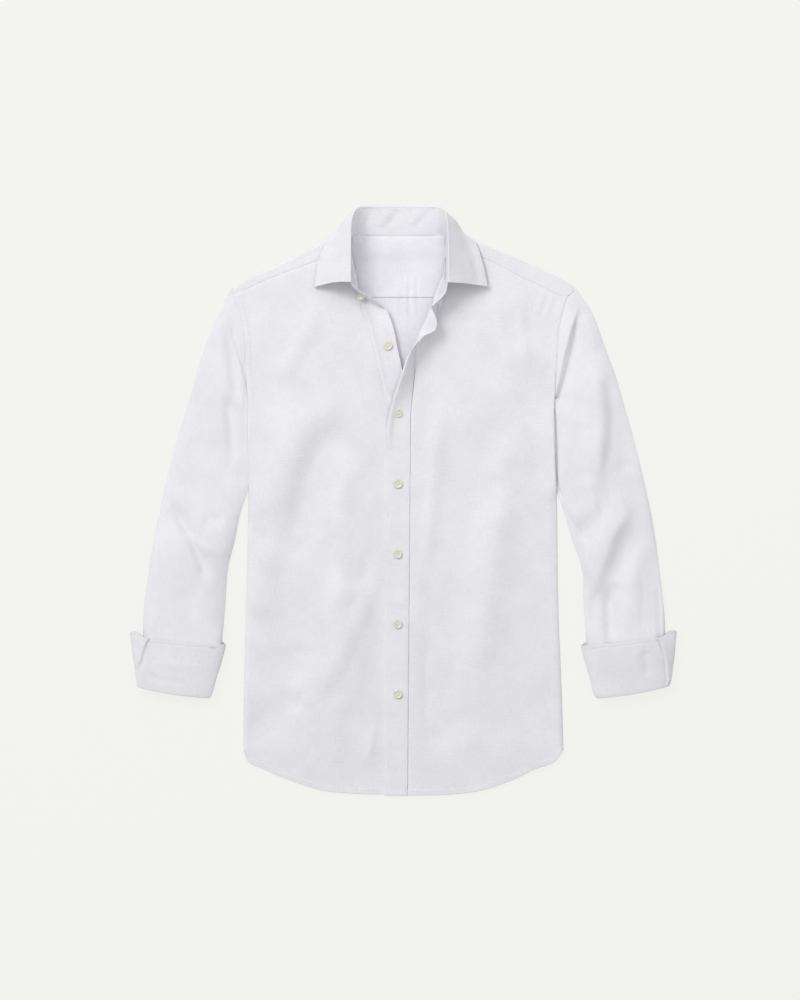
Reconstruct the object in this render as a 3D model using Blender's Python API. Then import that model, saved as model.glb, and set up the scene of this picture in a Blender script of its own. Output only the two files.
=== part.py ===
# Long-sleeved dress shirt, laid flat on its back with its collar open and its cuffs turned back.
# All sizes below are in millimetres and become metres when a mesh is made.
# +X is towards the wearer's left sleeve, +Y towards the collar, +Z up from the table.

import math
from collections import namedtuple

import bmesh
import bpy
import numpy as np
from mathutils import Vector

MM = 0.001
WALL = 1.2
GAP = 0.3

# The tables are measured from a point beside the middle of the whole, which becomes the origin.
ORIGIN = np.array((-0.7, 1.5475, 0.0))

# Layers, as heights of the lower face of each wall.
FRONT_REST = 2.0
FRONT_MIN = WALL + GAP
SHOULDER_RADIUS = 3.0
SHOULDER_TOP = 2 * SHOULDER_RADIUS - WALL
FOLD_STEPS = 6
PLACKET_REST = 3.2
RIM_WIDTH = 12.0
RIM_FOOT = 0.3

# Main sizes.
YOKE_SEAM_Y = 280.8
NECK_SEAM_Y = 365.1
NECK_CENTRE_X = -7.0
PLACKET_SEAM_X = 5.8
PLACKET_EDGE_X = -23.2
PLACKET_MIDDLE_X = (PLACKET_SEAM_X + PLACKET_EDGE_X) / 2
HEM_Y = -404.6
PLACKET_HEM_Y = -406.7
PLACKET_THICKNESS = 1.5
UNDERLAP_X = 3.5
LEAF_LIFT = 2.1

BUTTON_RADIUS = 5.7
BUTTON_HEIGHT = 2.6
BUTTON_CLEAR = 0.4
BUTTON_X = -8.0
BUTTON_YS = (121.2, 23.2, -73.4, -170.0, -266.6)
UPPER_BUTTON = (-21.8, 213.6)

# Outlines of the body, seen from above.
ARMHOLE_RIGHT = [(-238.0, 292.4), (-234.8, 284.4), (-224.7, 255.0), (-219.6, 224.7),
                 (-218.4, 184.6), (-215.4, 143.8)]
SIDE_RIGHT = [(-215.4, 143.8), (-214.2, 8.0), (-216.4, -116.0), (-220.5, -282.0), (-220.5, -346.0)]
HEM_RIGHT = [(-220.5, -346.0), (-216.0, -357.5), (-190.2, -371.5), (-157.0, -385.3),
             (-114.3, -399.1), (-70.0, -403.8), (UNDERLAP_X, HEM_Y)]
ARMHOLE_LEFT = [(238.4, 292.6), (225.2, 281.2), (219.0, 261.1), (212.8, 232.9), (211.0, 204.5),
                (208.7, 163.9), (208.0, 133.6)]
SIDE_LEFT = [(208.0, 133.6), (211.4, -20.0), (212.8, -137.0), (218.3, -282.0), (219.7, -344.0)]
HEM_LEFT = [(219.7, -344.0), (211.0, -357.0), (178.3, -371.5), (149.3, -385.3), (105.2, -399.1),
            (65.0, -403.6), (PLACKET_SEAM_X, HEM_Y)]

# Shoulder fold and the seam of the yoke on the front, from armhole to neck.
SHOULDER_RIGHT = [(-237.8, 291.5), (-212.2, 307.5), (-176.4, 324.0), (-143.2, 340.6), (-107.4, 356.0),
                  (-72.9, 361.0)]
SHOULDER_LEFT = [(238.0, 292.5), (215.6, 307.5), (179.7, 324.0), (141.0, 340.6), (102.4, 356.0),
                 (59.6, 361.0)]
YOKE_FRONT_RIGHT = [(-234.0, 283.8), (-216.0, 291.5), (-188.2, 304.7), (-143.2, 321.8), (-117.2, 332.3),
                    (-73.6, 347.0)]
YOKE_FRONT_LEFT = [(225.0, 280.4), (217.0, 282.4), (186.6, 296.4), (160.4, 308.8), (110.7, 333.7),
                   (58.2, 346.6)]

# Neckline of each front, from its front end to the yoke, and the free edge of the underlap.
NECK_FRONT_RIGHT = [(-23.2, 263.4), (-34.0, 267.9), (-45.0, 273.6), (-58.6, 282.6), (-70.2, 295.4),
                    (-72.9, 318.5), (-73.6, 347.0)]
NECK_FRONT_LEFT = [(46.9, 278.6), (52.0, 289.6), (55.0, 297.8), (56.9, 318.5), (58.2, 346.6)]
UNDERLAP_EDGE = [(-23.2, 263.4), (-17.7, 249.5), (-13.5, 235.7), (-8.0, 208.1), (-1.5, 177.2),
                 (2.6, 139.1), (UNDERLAP_X, 97.7)]

# Soft folds of each front: a ridge from one point to the other, its half width and its height.
Fold = namedtuple("Fold", "x0 y0 x1 y1 width height")
FOLDS_RIGHT = [
    Fold(-132.0, 282.0, -172.0, 190.0, 17.0, 3.6),
    Fold(-96.0, 250.0, -60.0, 150.0, 16.0, 1.8),
    Fold(-118.0, 152.0, -182.0, 58.0, 24.0, 4.6),
    Fold(-182.0, 58.0, -203.0, -30.0, 18.0, 4.0),
    Fold(-58.0, 70.0, -100.0, -6.0, 24.0, 4.2),
    Fold(-100.0, -6.0, -124.0, -86.0, 22.0, 4.4),
    Fold(-124.0, -86.0, -112.0, -152.0, 20.0, 3.2),
    Fold(-44.0, -112.0, -74.0, -212.0, 17.0, 4.4),
    Fold(-74.0, -212.0, -138.0, -292.0, 20.0, 5.0),
    Fold(-138.0, -292.0, -200.0, -330.0, 16.0, 3.2),
    Fold(-52.0, -300.0, -66.0, -366.0, 12.0, 2.4),
    Fold(-190.0, -110.0, -196.0, -240.0, 16.0, 2.4),
]
FOLDS_LEFT = [
    Fold(168.0, 290.0, 166.0, 200.0, 8.0, 2.0),
    Fold(188.0, 284.0, 190.0, 190.0, 7.0, 1.6),
    Fold(96.0, 240.0, 120.0, 160.0, 20.0, 2.6),
    Fold(160.0, 118.0, 104.0, 48.0, 24.0, 4.0),
    Fold(48.0, 60.0, 46.0, -90.0, 15.0, 3.0),
    Fold(136.0, 10.0, 138.0, -90.0, 15.0, 3.2),
    Fold(110.0, -30.0, 111.0, -290.0, 18.0, 4.4),
    Fold(178.0, -60.0, 186.0, -250.0, 20.0, 3.0),
    Fold(52.0, -180.0, 60.0, -350.0, 16.0, 2.4),
]

# Pleats of the back below the yoke: place across, half width and height.
Pleat = namedtuple("Pleat", "x width height")
PLEATS = [Pleat(-9.0, 3.2, 2.2), Pleat(2.5, 3.0, 2.4), Pleat(13.5, 3.4, 2.0), Pleat(25.0, 4.0, 1.2)]
PLEAT_LENGTH = 42.0

# Placket: its seam, middle and free edge from the collar down. Its upper end rolls outwards.
BandRow = namedtuple("BandRow", "sx sy sz mx my mz ex ey ez")
PLACKET_ROWS = [
    BandRow(46.4, 278.0, 11.0, 40.7, 272.3, 19.5, 36.6, 265.4, 27.0),
    BandRow(45.6, 264.7, 11.5, 35.4, 263.0, 22.5, 42.0, 256.4, 28.0),
    BandRow(42.6, 251.0, 12.0, 31.0, 251.0, 23.5, 45.6, 246.7, 27.5),
    BandRow(31.4, 236.4, 12.0, 23.8, 236.0, 22.5, 43.4, 234.8, 26.5),
    BandRow(20.8, 221.0, 11.0, 18.2, 223.3, 22.5, 27.9, 226.7, 30.0),
    BandRow(17.0, 210.9, 9.0, 14.2, 212.5, 21.5, 15.5, 215.0, 32.0),
    BandRow(15.2, 198.4, 6.5, 10.2, 199.5, 18.5, 7.2, 201.2, 30.0),
    BandRow(13.2, 175.0, 4.6, 6.6, 176.0, 15.5, -1.5, 177.2, 25.0),
    BandRow(11.5, 150.1, 3.9, 1.2, 151.0, 11.0, -10.1, 151.5, 17.0),
    BandRow(9.3, 120.5, 3.5, -4.4, 120.5, 6.6, -18.1, 120.5, 8.4),
    BandRow(PLACKET_SEAM_X, 92.0, PLACKET_REST, PLACKET_MIDDLE_X, 92.0, 3.9, PLACKET_EDGE_X, 92.0, 4.2),
]
for flat_y in (60.0, 40.0, PLACKET_HEM_Y):
    PLACKET_ROWS.append(BandRow(PLACKET_SEAM_X, flat_y, PLACKET_REST, PLACKET_MIDDLE_X, flat_y, PLACKET_REST,
                                PLACKET_EDGE_X, flat_y, PLACKET_REST))

# Collar stand from the wearer's right front end round the neck: foot on the neckline, then top.
# A foot height of None stands on the front that carries it.
StandRow = namedtuple("StandRow", "fx fy fz tx ty tz")
STAND_ROWS = [
    StandRow(-24.0, 264.2, None, -24.6, 265.4, 10.5),
    StandRow(-34.2, 268.4, None, -32.8, 272.8, 25.0),
    StandRow(-45.3, 274.0, None, -43.9, 279.6, 34.0),
    StandRow(-59.1, 283.0, None, -58.6, 290.6, 40.0),
    StandRow(-70.8, 295.6, None, -71.5, 299.2, 43.0),
    StandRow(-73.6, 318.5, None, -71.9, 321.2, 45.0),
    StandRow(-74.0, 340.0, None, -71.9, 345.0, 45.0),
    StandRow(-73.4, 352.0, None, -71.8, 362.0, 44.0),
    StandRow(-72.8, 357.6, None, -71.6, 370.0, 43.0),
    StandRow(-71.5, 362.9, 7.6, -71.2, 378.0, 41.0),
    StandRow(-63.6, 366.2, 5.4, -67.4, 396.0, 31.0),
    StandRow(-53.9, 366.4, 4.1, -58.4, 404.0, 17.0),
    StandRow(-32.8, 366.4, 3.4, -35.6, 405.6, 10.5),
    StandRow(-5.2, 366.4, 3.4, -5.2, 405.8, 9.0),
    StandRow(22.4, 366.4, 3.4, 25.1, 405.6, 10.5),
    StandRow(42.1, 366.4, 4.1, 47.6, 404.0, 17.0),
    StandRow(50.6, 366.2, 5.4, 55.8, 397.4, 31.0),
    StandRow(57.0, 362.9, 7.6, 59.0, 380.0, 41.0),
    StandRow(57.7, 357.6, None, 59.3, 371.5, 43.0),
    StandRow(58.0, 352.0, None, 59.6, 363.5, 44.0),
    StandRow(58.4, 340.0, None, 59.9, 346.0, 45.0),
    StandRow(57.6, 318.5, None, 59.9, 321.2, 45.0),
    StandRow(55.6, 298.2, None, 59.2, 298.9, 43.0),
    StandRow(52.2, 290.4, None, 57.3, 287.6, 40.5),
    StandRow(47.2, 280.6, 13.6, 51.8, 280.0, 38.0),
    StandRow(41.4, 274.2, 21.0, 44.8, 273.0, 36.0),
    StandRow(37.4, 267.6, 28.4, 38.4, 267.2, 32.0),
]
COLLAR_BUTTON_ROW = 3
LEAF_FIRST = 4
LEAF_LAST = 22

# Collar leaf at the stand's stations LEAF_FIRST to LEAF_LAST: two points of its fall and its edge.
LeafRow = namedtuple("LeafRow", "mx my mz lx ly lz ex ey ez")
LEAF_ROWS = [
    LeafRow(-88.0, 300.3, 38.5, -107.4, 298.1, 22.0, -123.9, 294.2, 10.0),
    LeafRow(-86.7, 324.0, 37.0, -103.2, 326.8, 21.0, -117.7, 330.9, 9.5),
    LeafRow(-85.3, 345.0, 35.0, -98.4, 348.2, 19.0, -110.8, 349.5, 9.5),
    LeafRow(-83.9, 367.2, 31.0, -96.3, 366.0, 15.5, -106.4, 360.6, 6.5),
    LeafRow(-83.6, 375.0, 27.5, -94.0, 370.0, 10.5, -99.0, 361.8, 1.6),
    LeafRow(-83.0, 382.0, 23.0, -91.0, 373.5, 5.0, -91.6, 357.0, 0.0),
    LeafRow(-76.0, 395.2, 17.0, -81.2, 384.0, 2.5, -77.0, 353.0, 0.0),
    LeafRow(-64.6, 402.4, 6.0, -66.0, 392.0, 1.0, -57.7, 354.0, 0.0),
    LeafRow(-36.6, 406.0, 3.2, -36.4, 397.2, 0.2, -32.8, 355.0, 0.0),
    LeafRow(-5.2, 406.2, 2.8, -5.2, 397.0, 0.1, -5.2, 355.0, 0.0),
    LeafRow(25.6, 406.0, 3.2, 25.8, 397.2, 0.2, 22.4, 355.0, 0.0),
    LeafRow(54.0, 402.4, 6.0, 56.0, 392.0, 1.0, 45.8, 354.0, 0.0),
    LeafRow(62.6, 396.0, 17.0, 69.2, 384.7, 2.5, 65.1, 353.0, 0.0),
    LeafRow(72.4, 382.7, 23.0, 80.4, 373.5, 5.0, 80.4, 357.0, 0.0),
    LeafRow(73.2, 375.5, 27.5, 83.5, 370.0, 10.5, 87.8, 361.8, 1.6),
    LeafRow(73.8, 368.0, 31.0, 85.6, 366.0, 15.5, 95.0, 360.6, 6.5),
    LeafRow(74.8, 346.0, 35.0, 88.6, 348.6, 19.0, 101.6, 349.5, 9.5),
    LeafRow(76.2, 323.3, 37.0, 93.4, 325.4, 21.0, 108.6, 326.8, 9.5),
    LeafRow(76.2, 298.9, 38.5, 98.3, 297.1, 22.0, 115.5, 295.2, 10.0),
]
ROLL = 3.6

# Sleeve edges from shoulder to cuff, seen from above.
SLEEVE_OUTER_RIGHT = [(-238.8, 292.1), (-256.4, 256.4), (-273.0, 215.0), (-292.3, 152.9), (-304.7, 111.5),
                      (-317.1, 70.1), (-336.4, -12.7), (-351.6, -95.5), (-358.6, -150.0), (-359.6, -191.0)]
SLEEVE_INNER_RIGHT = [(-216.4, 142.5), (-216.6, 80.0), (-217.8, 14.9), (-224.7, -12.7), (-232.9, -54.1),
                      (-242.6, -95.5), (-245.4, -136.9), (-250.9, -199.4)]
SLEEVE_OUTER_LEFT = [(239.2, 292.0), (261.1, 256.4), (276.3, 215.0), (291.5, 173.6), (303.9, 132.2),
                     (326.0, 49.4), (343.9, -33.4), (354.9, -116.2), (359.5, -160.0), (360.5, -189.5)]
SLEEVE_INNER_LEFT = [(209.6, 132.4), (213.0, 70.0), (214.4, 8.0), (219.7, -12.7), (232.1, -54.1),
                     (245.9, -95.5), (247.3, -136.9), (252.0, -198.0)]
SLEEVE_HIGH_TOP = 7.6
SLEEVE_HIGH = 14.0
SLEEVE_HIGH_END = 17.0
SLEEVE_SIDE = 3.4
SLEEVE_LOW_END = 1.8
ARMHOLE_GAP = 0.8

FOLDS_SLEEVE_RIGHT = [
    Fold(-232.0, 220.0, -236.0, 130.0, 9.0, 2.0),
    Fold(-262.0, 190.0, -300.0, 40.0, 16.0, 2.6),
    Fold(-322.0, 0.0, -292.0, -70.0, 12.0, -3.0),
    Fold(-262.0, -20.0, -282.0, -36.0, 11.0, -2.6),
    Fold(-270.0, -90.0, -318.0, -150.0, 14.0, 2.2),
]
FOLDS_SLEEVE_LEFT = [
    Fold(240.0, 262.0, 218.0, 150.0, 9.0, -2.6),
    Fold(262.0, 200.0, 304.0, 20.0, 16.0, 2.6),
    Fold(316.0, -30.0, 284.0, -118.0, 13.0, -3.0),
    Fold(236.0, 40.0, 250.0, -40.0, 12.0, 1.8),
]

# Cuff rings, from the sleeve's end down inside, round the fold and up outside to the open edge.
# Each row gives the outer and inner ends of the ring, its lowest and highest faces, how far its
# middle sags towards the fold, how far its outer corner stands up, and where the slit between
# the cuff's two ends lies: its share of the width, and how wide it stands.
CuffRow = namedtuple("CuffRow", "ax ay bx by low high sag corner slit apart")
CUFF_RIGHT = [
    CuffRow(-359.6, -191.6, -250.9, -200.0, 1.8, 17.0, 0.0, 0.0, 0.20, 3.0),
    CuffRow(-361.5, -212.0, -255.8, -220.5, 2.2, 15.8, 0.0, 0.0, 0.17, 3.0),
    CuffRow(-363.0, -238.0, -262.4, -251.0, 2.6, 14.0, 1.5, 0.0, 0.13, 3.0),
    CuffRow(-364.0, -252.0, -268.0, -267.0, 2.7, 13.2, 2.5, 0.0, 0.11, 3.0),
    CuffRow(-366.2, -257.0, -268.4, -272.2, 1.4, 14.4, 2.5, 0.0, 0.09, 3.0),
    CuffRow(-368.2, -251.0, -264.0, -266.0, 0.0, 16.2, 2.5, 0.0, 0.07, 3.0),
    CuffRow(-371.4, -229.0, -257.4, -243.0, 0.0, 18.4, 1.0, 0.0, 0.07, 2.2),
    CuffRow(-373.8, -213.0, -252.0, -226.0, 0.0, 20.0, 0.5, 1.5, 0.12, 6.5),
    CuffRow(-376.2, -196.0, -247.4, -209.5, 0.0, 21.4, 0.0, 5.0, 0.17, 4.6),
    CuffRow(-377.8, -188.0, -244.7, -198.3, 0.0, 22.0, 0.0, 9.0, 0.215, 0.9),
]
CUFF_LEFT = [
    CuffRow(360.5, -190.0, 252.0, -198.6, 1.8, 17.0, 0.0, 0.0, 0.14, 3.0),
    CuffRow(361.6, -210.0, 255.8, -219.0, 2.2, 15.8, 0.0, 0.0, 0.10, 3.0),
    CuffRow(362.0, -238.0, 261.6, -251.0, 2.6, 14.0, 1.5, 0.0, 0.06, 3.0),
    CuffRow(361.8, -250.0, 266.4, -267.0, 2.7, 13.2, 2.5, 0.0, 0.05, 3.0),
    CuffRow(364.0, -256.0, 267.0, -272.2, 1.4, 14.4, 2.5, 0.0, 0.05, 2.0),
    CuffRow(368.0, -250.0, 261.4, -266.0, 0.0, 16.2, 2.5, 0.0, 0.06, 1.4),
    CuffRow(371.4, -228.0, 255.2, -242.0, 0.0, 18.4, 1.0, 0.0, 0.10, 1.0),
    CuffRow(373.6, -212.0, 249.8, -224.0, 0.0, 20.0, 0.5, 1.5, 0.134, 0.9),
    CuffRow(375.2, -195.0, 245.8, -208.6, 0.0, 21.4, 0.0, 5.0, 0.18, 0.9),
    CuffRow(376.4, -186.0, 243.8, -199.8, 0.0, 22.0, 0.0, 9.0, 0.227, 0.9),
]
CUFF_SIDE = 8.0
SLIT_FIRST_ROW = 6
SLIT_COLUMN = 3
CUFF_SPREAD = (0.16, 0.38, 0.62, 0.84, 0.96, 1.0)

COTTON = (0.83, 0.82, 0.86)
BUTTON_RESIN = (0.74, 0.74, 0.65)


def clear_scene():
    for obj in list(bpy.data.objects):
        bpy.data.objects.remove(obj, do_unlink=True)


def material(name, colour, roughness):
    made = bpy.data.materials.new(name)
    made.use_nodes = True
    shader = made.node_tree.nodes["Principled BSDF"]
    shader.inputs["Base Color"].default_value = (*colour, 1.0)
    shader.inputs["Roughness"].default_value = roughness
    shader.inputs["Metallic"].default_value = 0.0
    return made


def ease(low, high, value):
    """0 below low, 1 above high, smooth between."""
    t = np.clip((value - low) / (high - low), 0.0, 1.0)
    return t * t * (3 - 2 * t)


def chord_knots(points):
    steps = np.linalg.norm(np.diff(np.asarray(points, float), axis=0), axis=1)
    return np.concatenate([[0.0], np.cumsum(steps)])


def curve(rows, knots, at):
    """A smooth curve through rows, one for each knot, read at the values in at."""
    rows = np.asarray(rows, float)
    knots = np.asarray(knots, float)
    at = np.clip(at, knots[0], knots[-1])
    slopes = np.gradient(rows, knots, axis=0)
    k = np.clip(np.searchsorted(knots, at, side="right") - 1, 0, len(knots) - 2)
    span = (knots[k + 1] - knots[k])[:, None]
    t = (at - knots[k])[:, None] / span
    start = (2 * t**3 - 3 * t**2 + 1) * rows[k] + (t**3 - 2 * t**2 + t) * span * slopes[k]
    end = (3 * t**2 - 2 * t**3) * rows[k + 1] + (t**3 - t**2) * span * slopes[k + 1]
    return start + end


def along(points, fractions):
    """Points at fractions of the length of a smooth line."""
    knots = chord_knots(points)
    return curve(points, knots, np.asarray(fractions) * knots[-1])


def patch(us, vs, top, bottom, start, end):
    """A plan grid between four edges: top and bottom run with us, start and end with vs."""
    u = us[None, :, None]
    v = vs[:, None, None]
    down = (1 - v) * top[None] + v * bottom[None]
    across = (1 - u) * start[:, None] + u * end[:, None]
    corners = (1 - u) * ((1 - v) * start[0] + v * start[-1]) + u * ((1 - v) * end[0] + v * end[-1])
    return down + across - corners


READ_AT = np.linspace(0.0, 1.0, 60)


def fold_height(folds, x, y):
    total = np.zeros_like(x)
    for fold in folds:
        run = np.array([fold.x1 - fold.x0, fold.y1 - fold.y0])
        t = ((x - fold.x0) * run[0] + (y - fold.y0) * run[1]) / (run @ run)
        t = np.clip(t, 0.0, 1.0)
        away = np.hypot(x - fold.x0 - t * run[0], y - fold.y0 - t * run[1])
        total += fold.height * np.exp(-((away / fold.width) ** 2))
    return total


def cloth(name, grid, fill, thickness=WALL, outwards=True, ring=False, keep=None):
    """A wall on a grid of points. ring joins the last column to the first, and keep marks cells."""
    rows, columns = grid.shape[:2]
    last = columns if ring else columns - 1
    bm = bmesh.new()
    points = [[bm.verts.new((p - ORIGIN) * MM) for p in row] for row in grid]
    for i in range(rows - 1):
        for j in range(last):
            if keep is not None and not keep[i, j]:
                continue
            k = (j + 1) % columns
            bm.faces.new((points[i][j], points[i + 1][j], points[i + 1][k], points[i][k]))
    loose = [v for v in bm.verts if not v.link_faces]
    bmesh.ops.delete(bm, geom=loose, context="VERTS")
    mesh = bpy.data.meshes.new(name)
    bm.to_mesh(mesh)
    bm.free()
    mesh.shade_smooth()
    obj = bpy.data.objects.new(name, mesh)
    bpy.context.scene.collection.objects.link(obj)
    mesh.materials.append(fill)
    wall = obj.modifiers.new("wall", "SOLIDIFY")
    wall.thickness = thickness * MM
    wall.offset = 1.0 if outwards else -1.0
    wall.use_rim = True
    return obj


def with_height(plan, z):
    return np.concatenate([plan, z[..., None]], axis=2)


def beside(points, distance):
    """A plan line moved sideways, to the left of its run for a positive distance."""
    points = np.asarray(points, float)
    run = np.gradient(points, chord_knots(points), axis=0)
    run = run / np.linalg.norm(run, axis=1)[:, None]
    return points + distance * np.stack([-run[:, 1], run[:, 0]], axis=1)


def inset_plan(points, inset):
    """Outline points moved towards the middle of the body."""
    return [(x - math.copysign(inset, x), y) for x, y in points]


def front_grid(armhole, side, hem, neckline, yoke_seam, opening, neck_share, rows):
    """Plan grid of a front, from its opening to its side and from its neckline to its hem."""
    us = np.concatenate([
        np.array([0.0, 0.36, 0.57, 0.78, 1.0]) * neck_share,
        np.linspace(neck_share, 0.93, 6)[1:],
        [0.965, 0.9972, 1.0],
    ])
    upper = np.linspace(0.0, 0.26, 12)
    vs = np.concatenate([upper, np.linspace(0.26, 1.0, rows - 11)[1:]])
    neck_us = us[us <= neck_share] / neck_share
    seam_us = (us[us > neck_share] - neck_share) / (1 - neck_share)
    top = np.concatenate([along(neckline, neck_us), along(yoke_seam[::-1], seam_us)])
    bottom = along(hem[::-1], us)
    edge = armhole[:-1] + inset_plan(side, WALL)
    edge = [tuple(top[-1])] + [p for p in edge if p[1] < top[-1][1] - 4]
    edge[-1] = tuple(bottom[-1])
    start = along(opening, vs)
    return patch(us, vs, top, bottom, start, along(edge, vs))


def rim_height(height, reach, weight):
    """The side of a front curves down to the table over the rim's width."""
    share = 1 - np.clip(reach / RIM_WIDTH, 0.0, 1.0)
    rounded = RIM_FOOT + (height - RIM_FOOT) * np.sqrt(1 - share**2)
    return height + (rounded - height) * weight


def front_rise(x, y):
    """A front lifts from the chest to the shoulder, and a little more beside the neck."""
    near = ease(146.0, 112.0, abs(x - NECK_CENTRE_X))
    return (FRONT_REST + (SHOULDER_TOP - FRONT_REST) * ease(140.0, 285.0, y)
            + LEAF_LIFT * near * ease(290.0, 336.0, y))


def right_height(x, y):
    """Lower face of the front worn on the right, which lies flat under the placket."""
    free = ease(-26.0, -58.0, x)
    opened = ease(110.0, 200.0, y)
    folds = fold_height(FOLDS_RIGHT, x, y) * ease(292.0, 262.0, y + 0.2 * (x + 70.0))
    base = front_rise(x, y) + 1.4 * opened * (1 - free)
    pressed = FRONT_MIN + GAP / 3
    return np.where(y > 90.0, base, pressed + (base - pressed) * free) + folds * free


def left_height(x, y):
    folds = fold_height(FOLDS_LEFT, x, y) * ease(292.0, 262.0, y + 0.2 * (70.0 - x))
    return front_rise(x, y) + folds * ease(8.0, 40.0, x)


def side_reach(plan):
    """Distance of each grid point from its row's side edge."""
    return np.linalg.norm(plan - plan[:, -1:], axis=2)


def make_front_right(fill):
    opening = UNDERLAP_EDGE + [(UNDERLAP_X, HEM_Y)]
    plan = front_grid(ARMHOLE_RIGHT, SIDE_RIGHT, HEM_RIGHT, NECK_FRONT_RIGHT,
                      YOKE_FRONT_RIGHT, opening, 0.36, 30)
    x, y = plan[..., 0], plan[..., 1]
    z = right_height(x, y)
    below_armpit = ease(150.0, 95.0, y[:, -1:])
    z = rim_height(z + 2.4 * below_armpit * np.exp(-((side_reach(plan) / 34.0) ** 2)),
                   side_reach(plan), below_armpit)
    return cloth("front_right", with_height(plan, z)[:, ::-1], fill)


def placket_rows(count):
    """Seam, middle and free edge of the placket at evenly spread stations."""
    table = np.array(PLACKET_ROWS, float)
    knots = chord_knots((table[:, 0:3] + table[:, 6:9]) / 2)
    upper = np.linspace(0.0, knots[-2], count)
    lower = np.linspace(knots[-2], knots[-1], 12)[1:]
    return curve(table, knots, np.concatenate([upper, lower]))


def make_front_left(fill):
    seam = placket_rows(20)[:, 0:3]
    opening = [tuple(p) for p in front_edge_line()] + [(PLACKET_SEAM_X + GAP, HEM_Y)]
    neckline = [opening[0]] + NECK_FRONT_LEFT[1:]
    plan = front_grid(ARMHOLE_LEFT, SIDE_LEFT, HEM_LEFT, neckline,
                      YOKE_FRONT_LEFT, opening, 0.30, 30)
    x, y = plan[..., 0], plan[..., 1]
    z = left_height(x, y)
    order = np.argsort(seam[:, 1])
    edge_z = np.interp(y[:, :1], seam[order, 1], seam[order, 2])
    reach = np.linalg.norm(plan - plan[:, :1], axis=2)
    z = z + (edge_z - z[:, :1]) * ease(62.0, 0.0, reach)
    below_armpit = ease(140.0, 85.0, y[:, -1:])
    z = rim_height(z + 2.4 * below_armpit * np.exp(-((side_reach(plan) / 34.0) ** 2)),
                   side_reach(plan), below_armpit)
    return cloth("front_left", with_height(plan, z), fill)


def front_edge_line():
    """Edge of the front beside the placket, farther off where the placket stands on edge."""
    rows = np.array(PLACKET_ROWS[:-1], float)
    rise = rows[:, 3:6] - rows[:, 0:3]
    steep = rise[:, 2] / np.linalg.norm(rise, axis=1)
    run = np.gradient(rows[:, 0:2], chord_knots(rows[:, 0:2]), axis=0)
    run = run / np.linalg.norm(run, axis=1)[:, None]
    side = np.stack([-run[:, 1], run[:, 0]], axis=1)
    return rows[:, 0:2] + side * (GAP + 1.5 * PLACKET_THICKNESS * steep)[:, None]


def band_point(row, t):
    """A point across the placket, t from 0 at the seam to 1 at the free edge."""
    seam, middle, edge = row[0:3], row[3:6], row[6:9]
    return (1 - t) * (1 - 2 * t) * seam + 4 * t * (1 - t) * middle + t * (2 * t - 1) * edge


def make_placket(fill):
    grid = np.array([[band_point(row, t) for t in np.linspace(0.0, 1.0, 5)] for row in placket_rows(20)])
    return cloth("placket", grid[:, ::-1], fill, thickness=PLACKET_THICKNESS)


def pleat_height(x, y):
    total = np.zeros_like(x)
    for pleat in PLEATS:
        total += pleat.height * np.exp(-(((x - pleat.x) / pleat.width) ** 2))
    return total * np.exp(-(((y - YOKE_SEAM_Y) / PLEAT_LENGTH) ** 2))


def back_edge(armhole, side, top_y, inset):
    """The back's edge down the armhole, then inside the front's rim."""
    line = along(armhole, READ_AT)[::-1]
    top_x = float(np.interp(top_y, line[:, 1], line[:, 0]))
    seam = inset_plan([(top_x, top_y)] + [p for p in armhole[:-1] if p[1] < top_y - 4], GAP * 2)
    return seam + inset_plan(side, inset)


def make_back(fill):
    """The back lies on the table, with pleats under the middle of the yoke."""
    us = np.concatenate([[0.0, 0.2, 0.4], np.linspace(0.47, 0.575, 12), [0.65, 0.82, 1.0]])
    vs = np.concatenate([np.linspace(0.0, 0.12, 5), np.linspace(0.12, 1.0, 9)[1:]])
    inset = 2.6
    top_y = YOKE_SEAM_Y - GAP
    right = back_edge(ARMHOLE_RIGHT, SIDE_RIGHT, top_y, inset)
    left = back_edge(ARMHOLE_LEFT, SIDE_LEFT, top_y, inset)
    hem = [(x, y + inset) for x, y in HEM_RIGHT[1:-1] + HEM_LEFT[-2:0:-1]]
    hem = [right[-1]] + [(x * 0.985, y) for x, y in hem] + [left[-1]]
    top = np.stack([np.interp(us, [0, 1], [right[0][0], left[0][0]]), np.full(len(us), top_y)], axis=1)
    plan = patch(us, vs, top, along(hem, us), along(right, vs), along(left, vs))
    x, y = plan[..., 0], plan[..., 1]
    return cloth("back", with_height(plan, pleat_height(x, y)), fill)


def yoke_lift(x, y):
    """The yoke rises at the neck to pass over the edge of the collar leaf."""
    near = ease(146.0, 112.0, abs(x - NECK_CENTRE_X))
    return LEAF_LIFT * near * ease(326.0, 346.0, y)


def wing_section(x, top_y, seam_y):
    """Outer face of the yoke over the shoulder: under the fold, round it and forward to the seam."""
    lift = float(yoke_lift(x, top_y))
    radius = SHOULDER_RADIUS
    points = []
    for angle in np.linspace(-90.0, 90.0, FOLD_STEPS):
        a = math.radians(angle)
        points.append((x, top_y - radius + radius * math.cos(a), radius + radius * math.sin(a) + lift))
    points[0] = (x, top_y - radius, lift)
    end = (x, seam_y + GAP * 2, 2 * radius + lift)
    middle = tuple((np.array(points[-1]) + np.array(end)) / 2)
    return points + [middle, end]


def armhole_reader(armhole, inset):
    """Where the armhole lies across, at a place along the body."""
    line = along(armhole, READ_AT)[::-1]
    return lambda y: float(np.interp(y, line[:, 1], line[:, 0])) + inset


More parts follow.
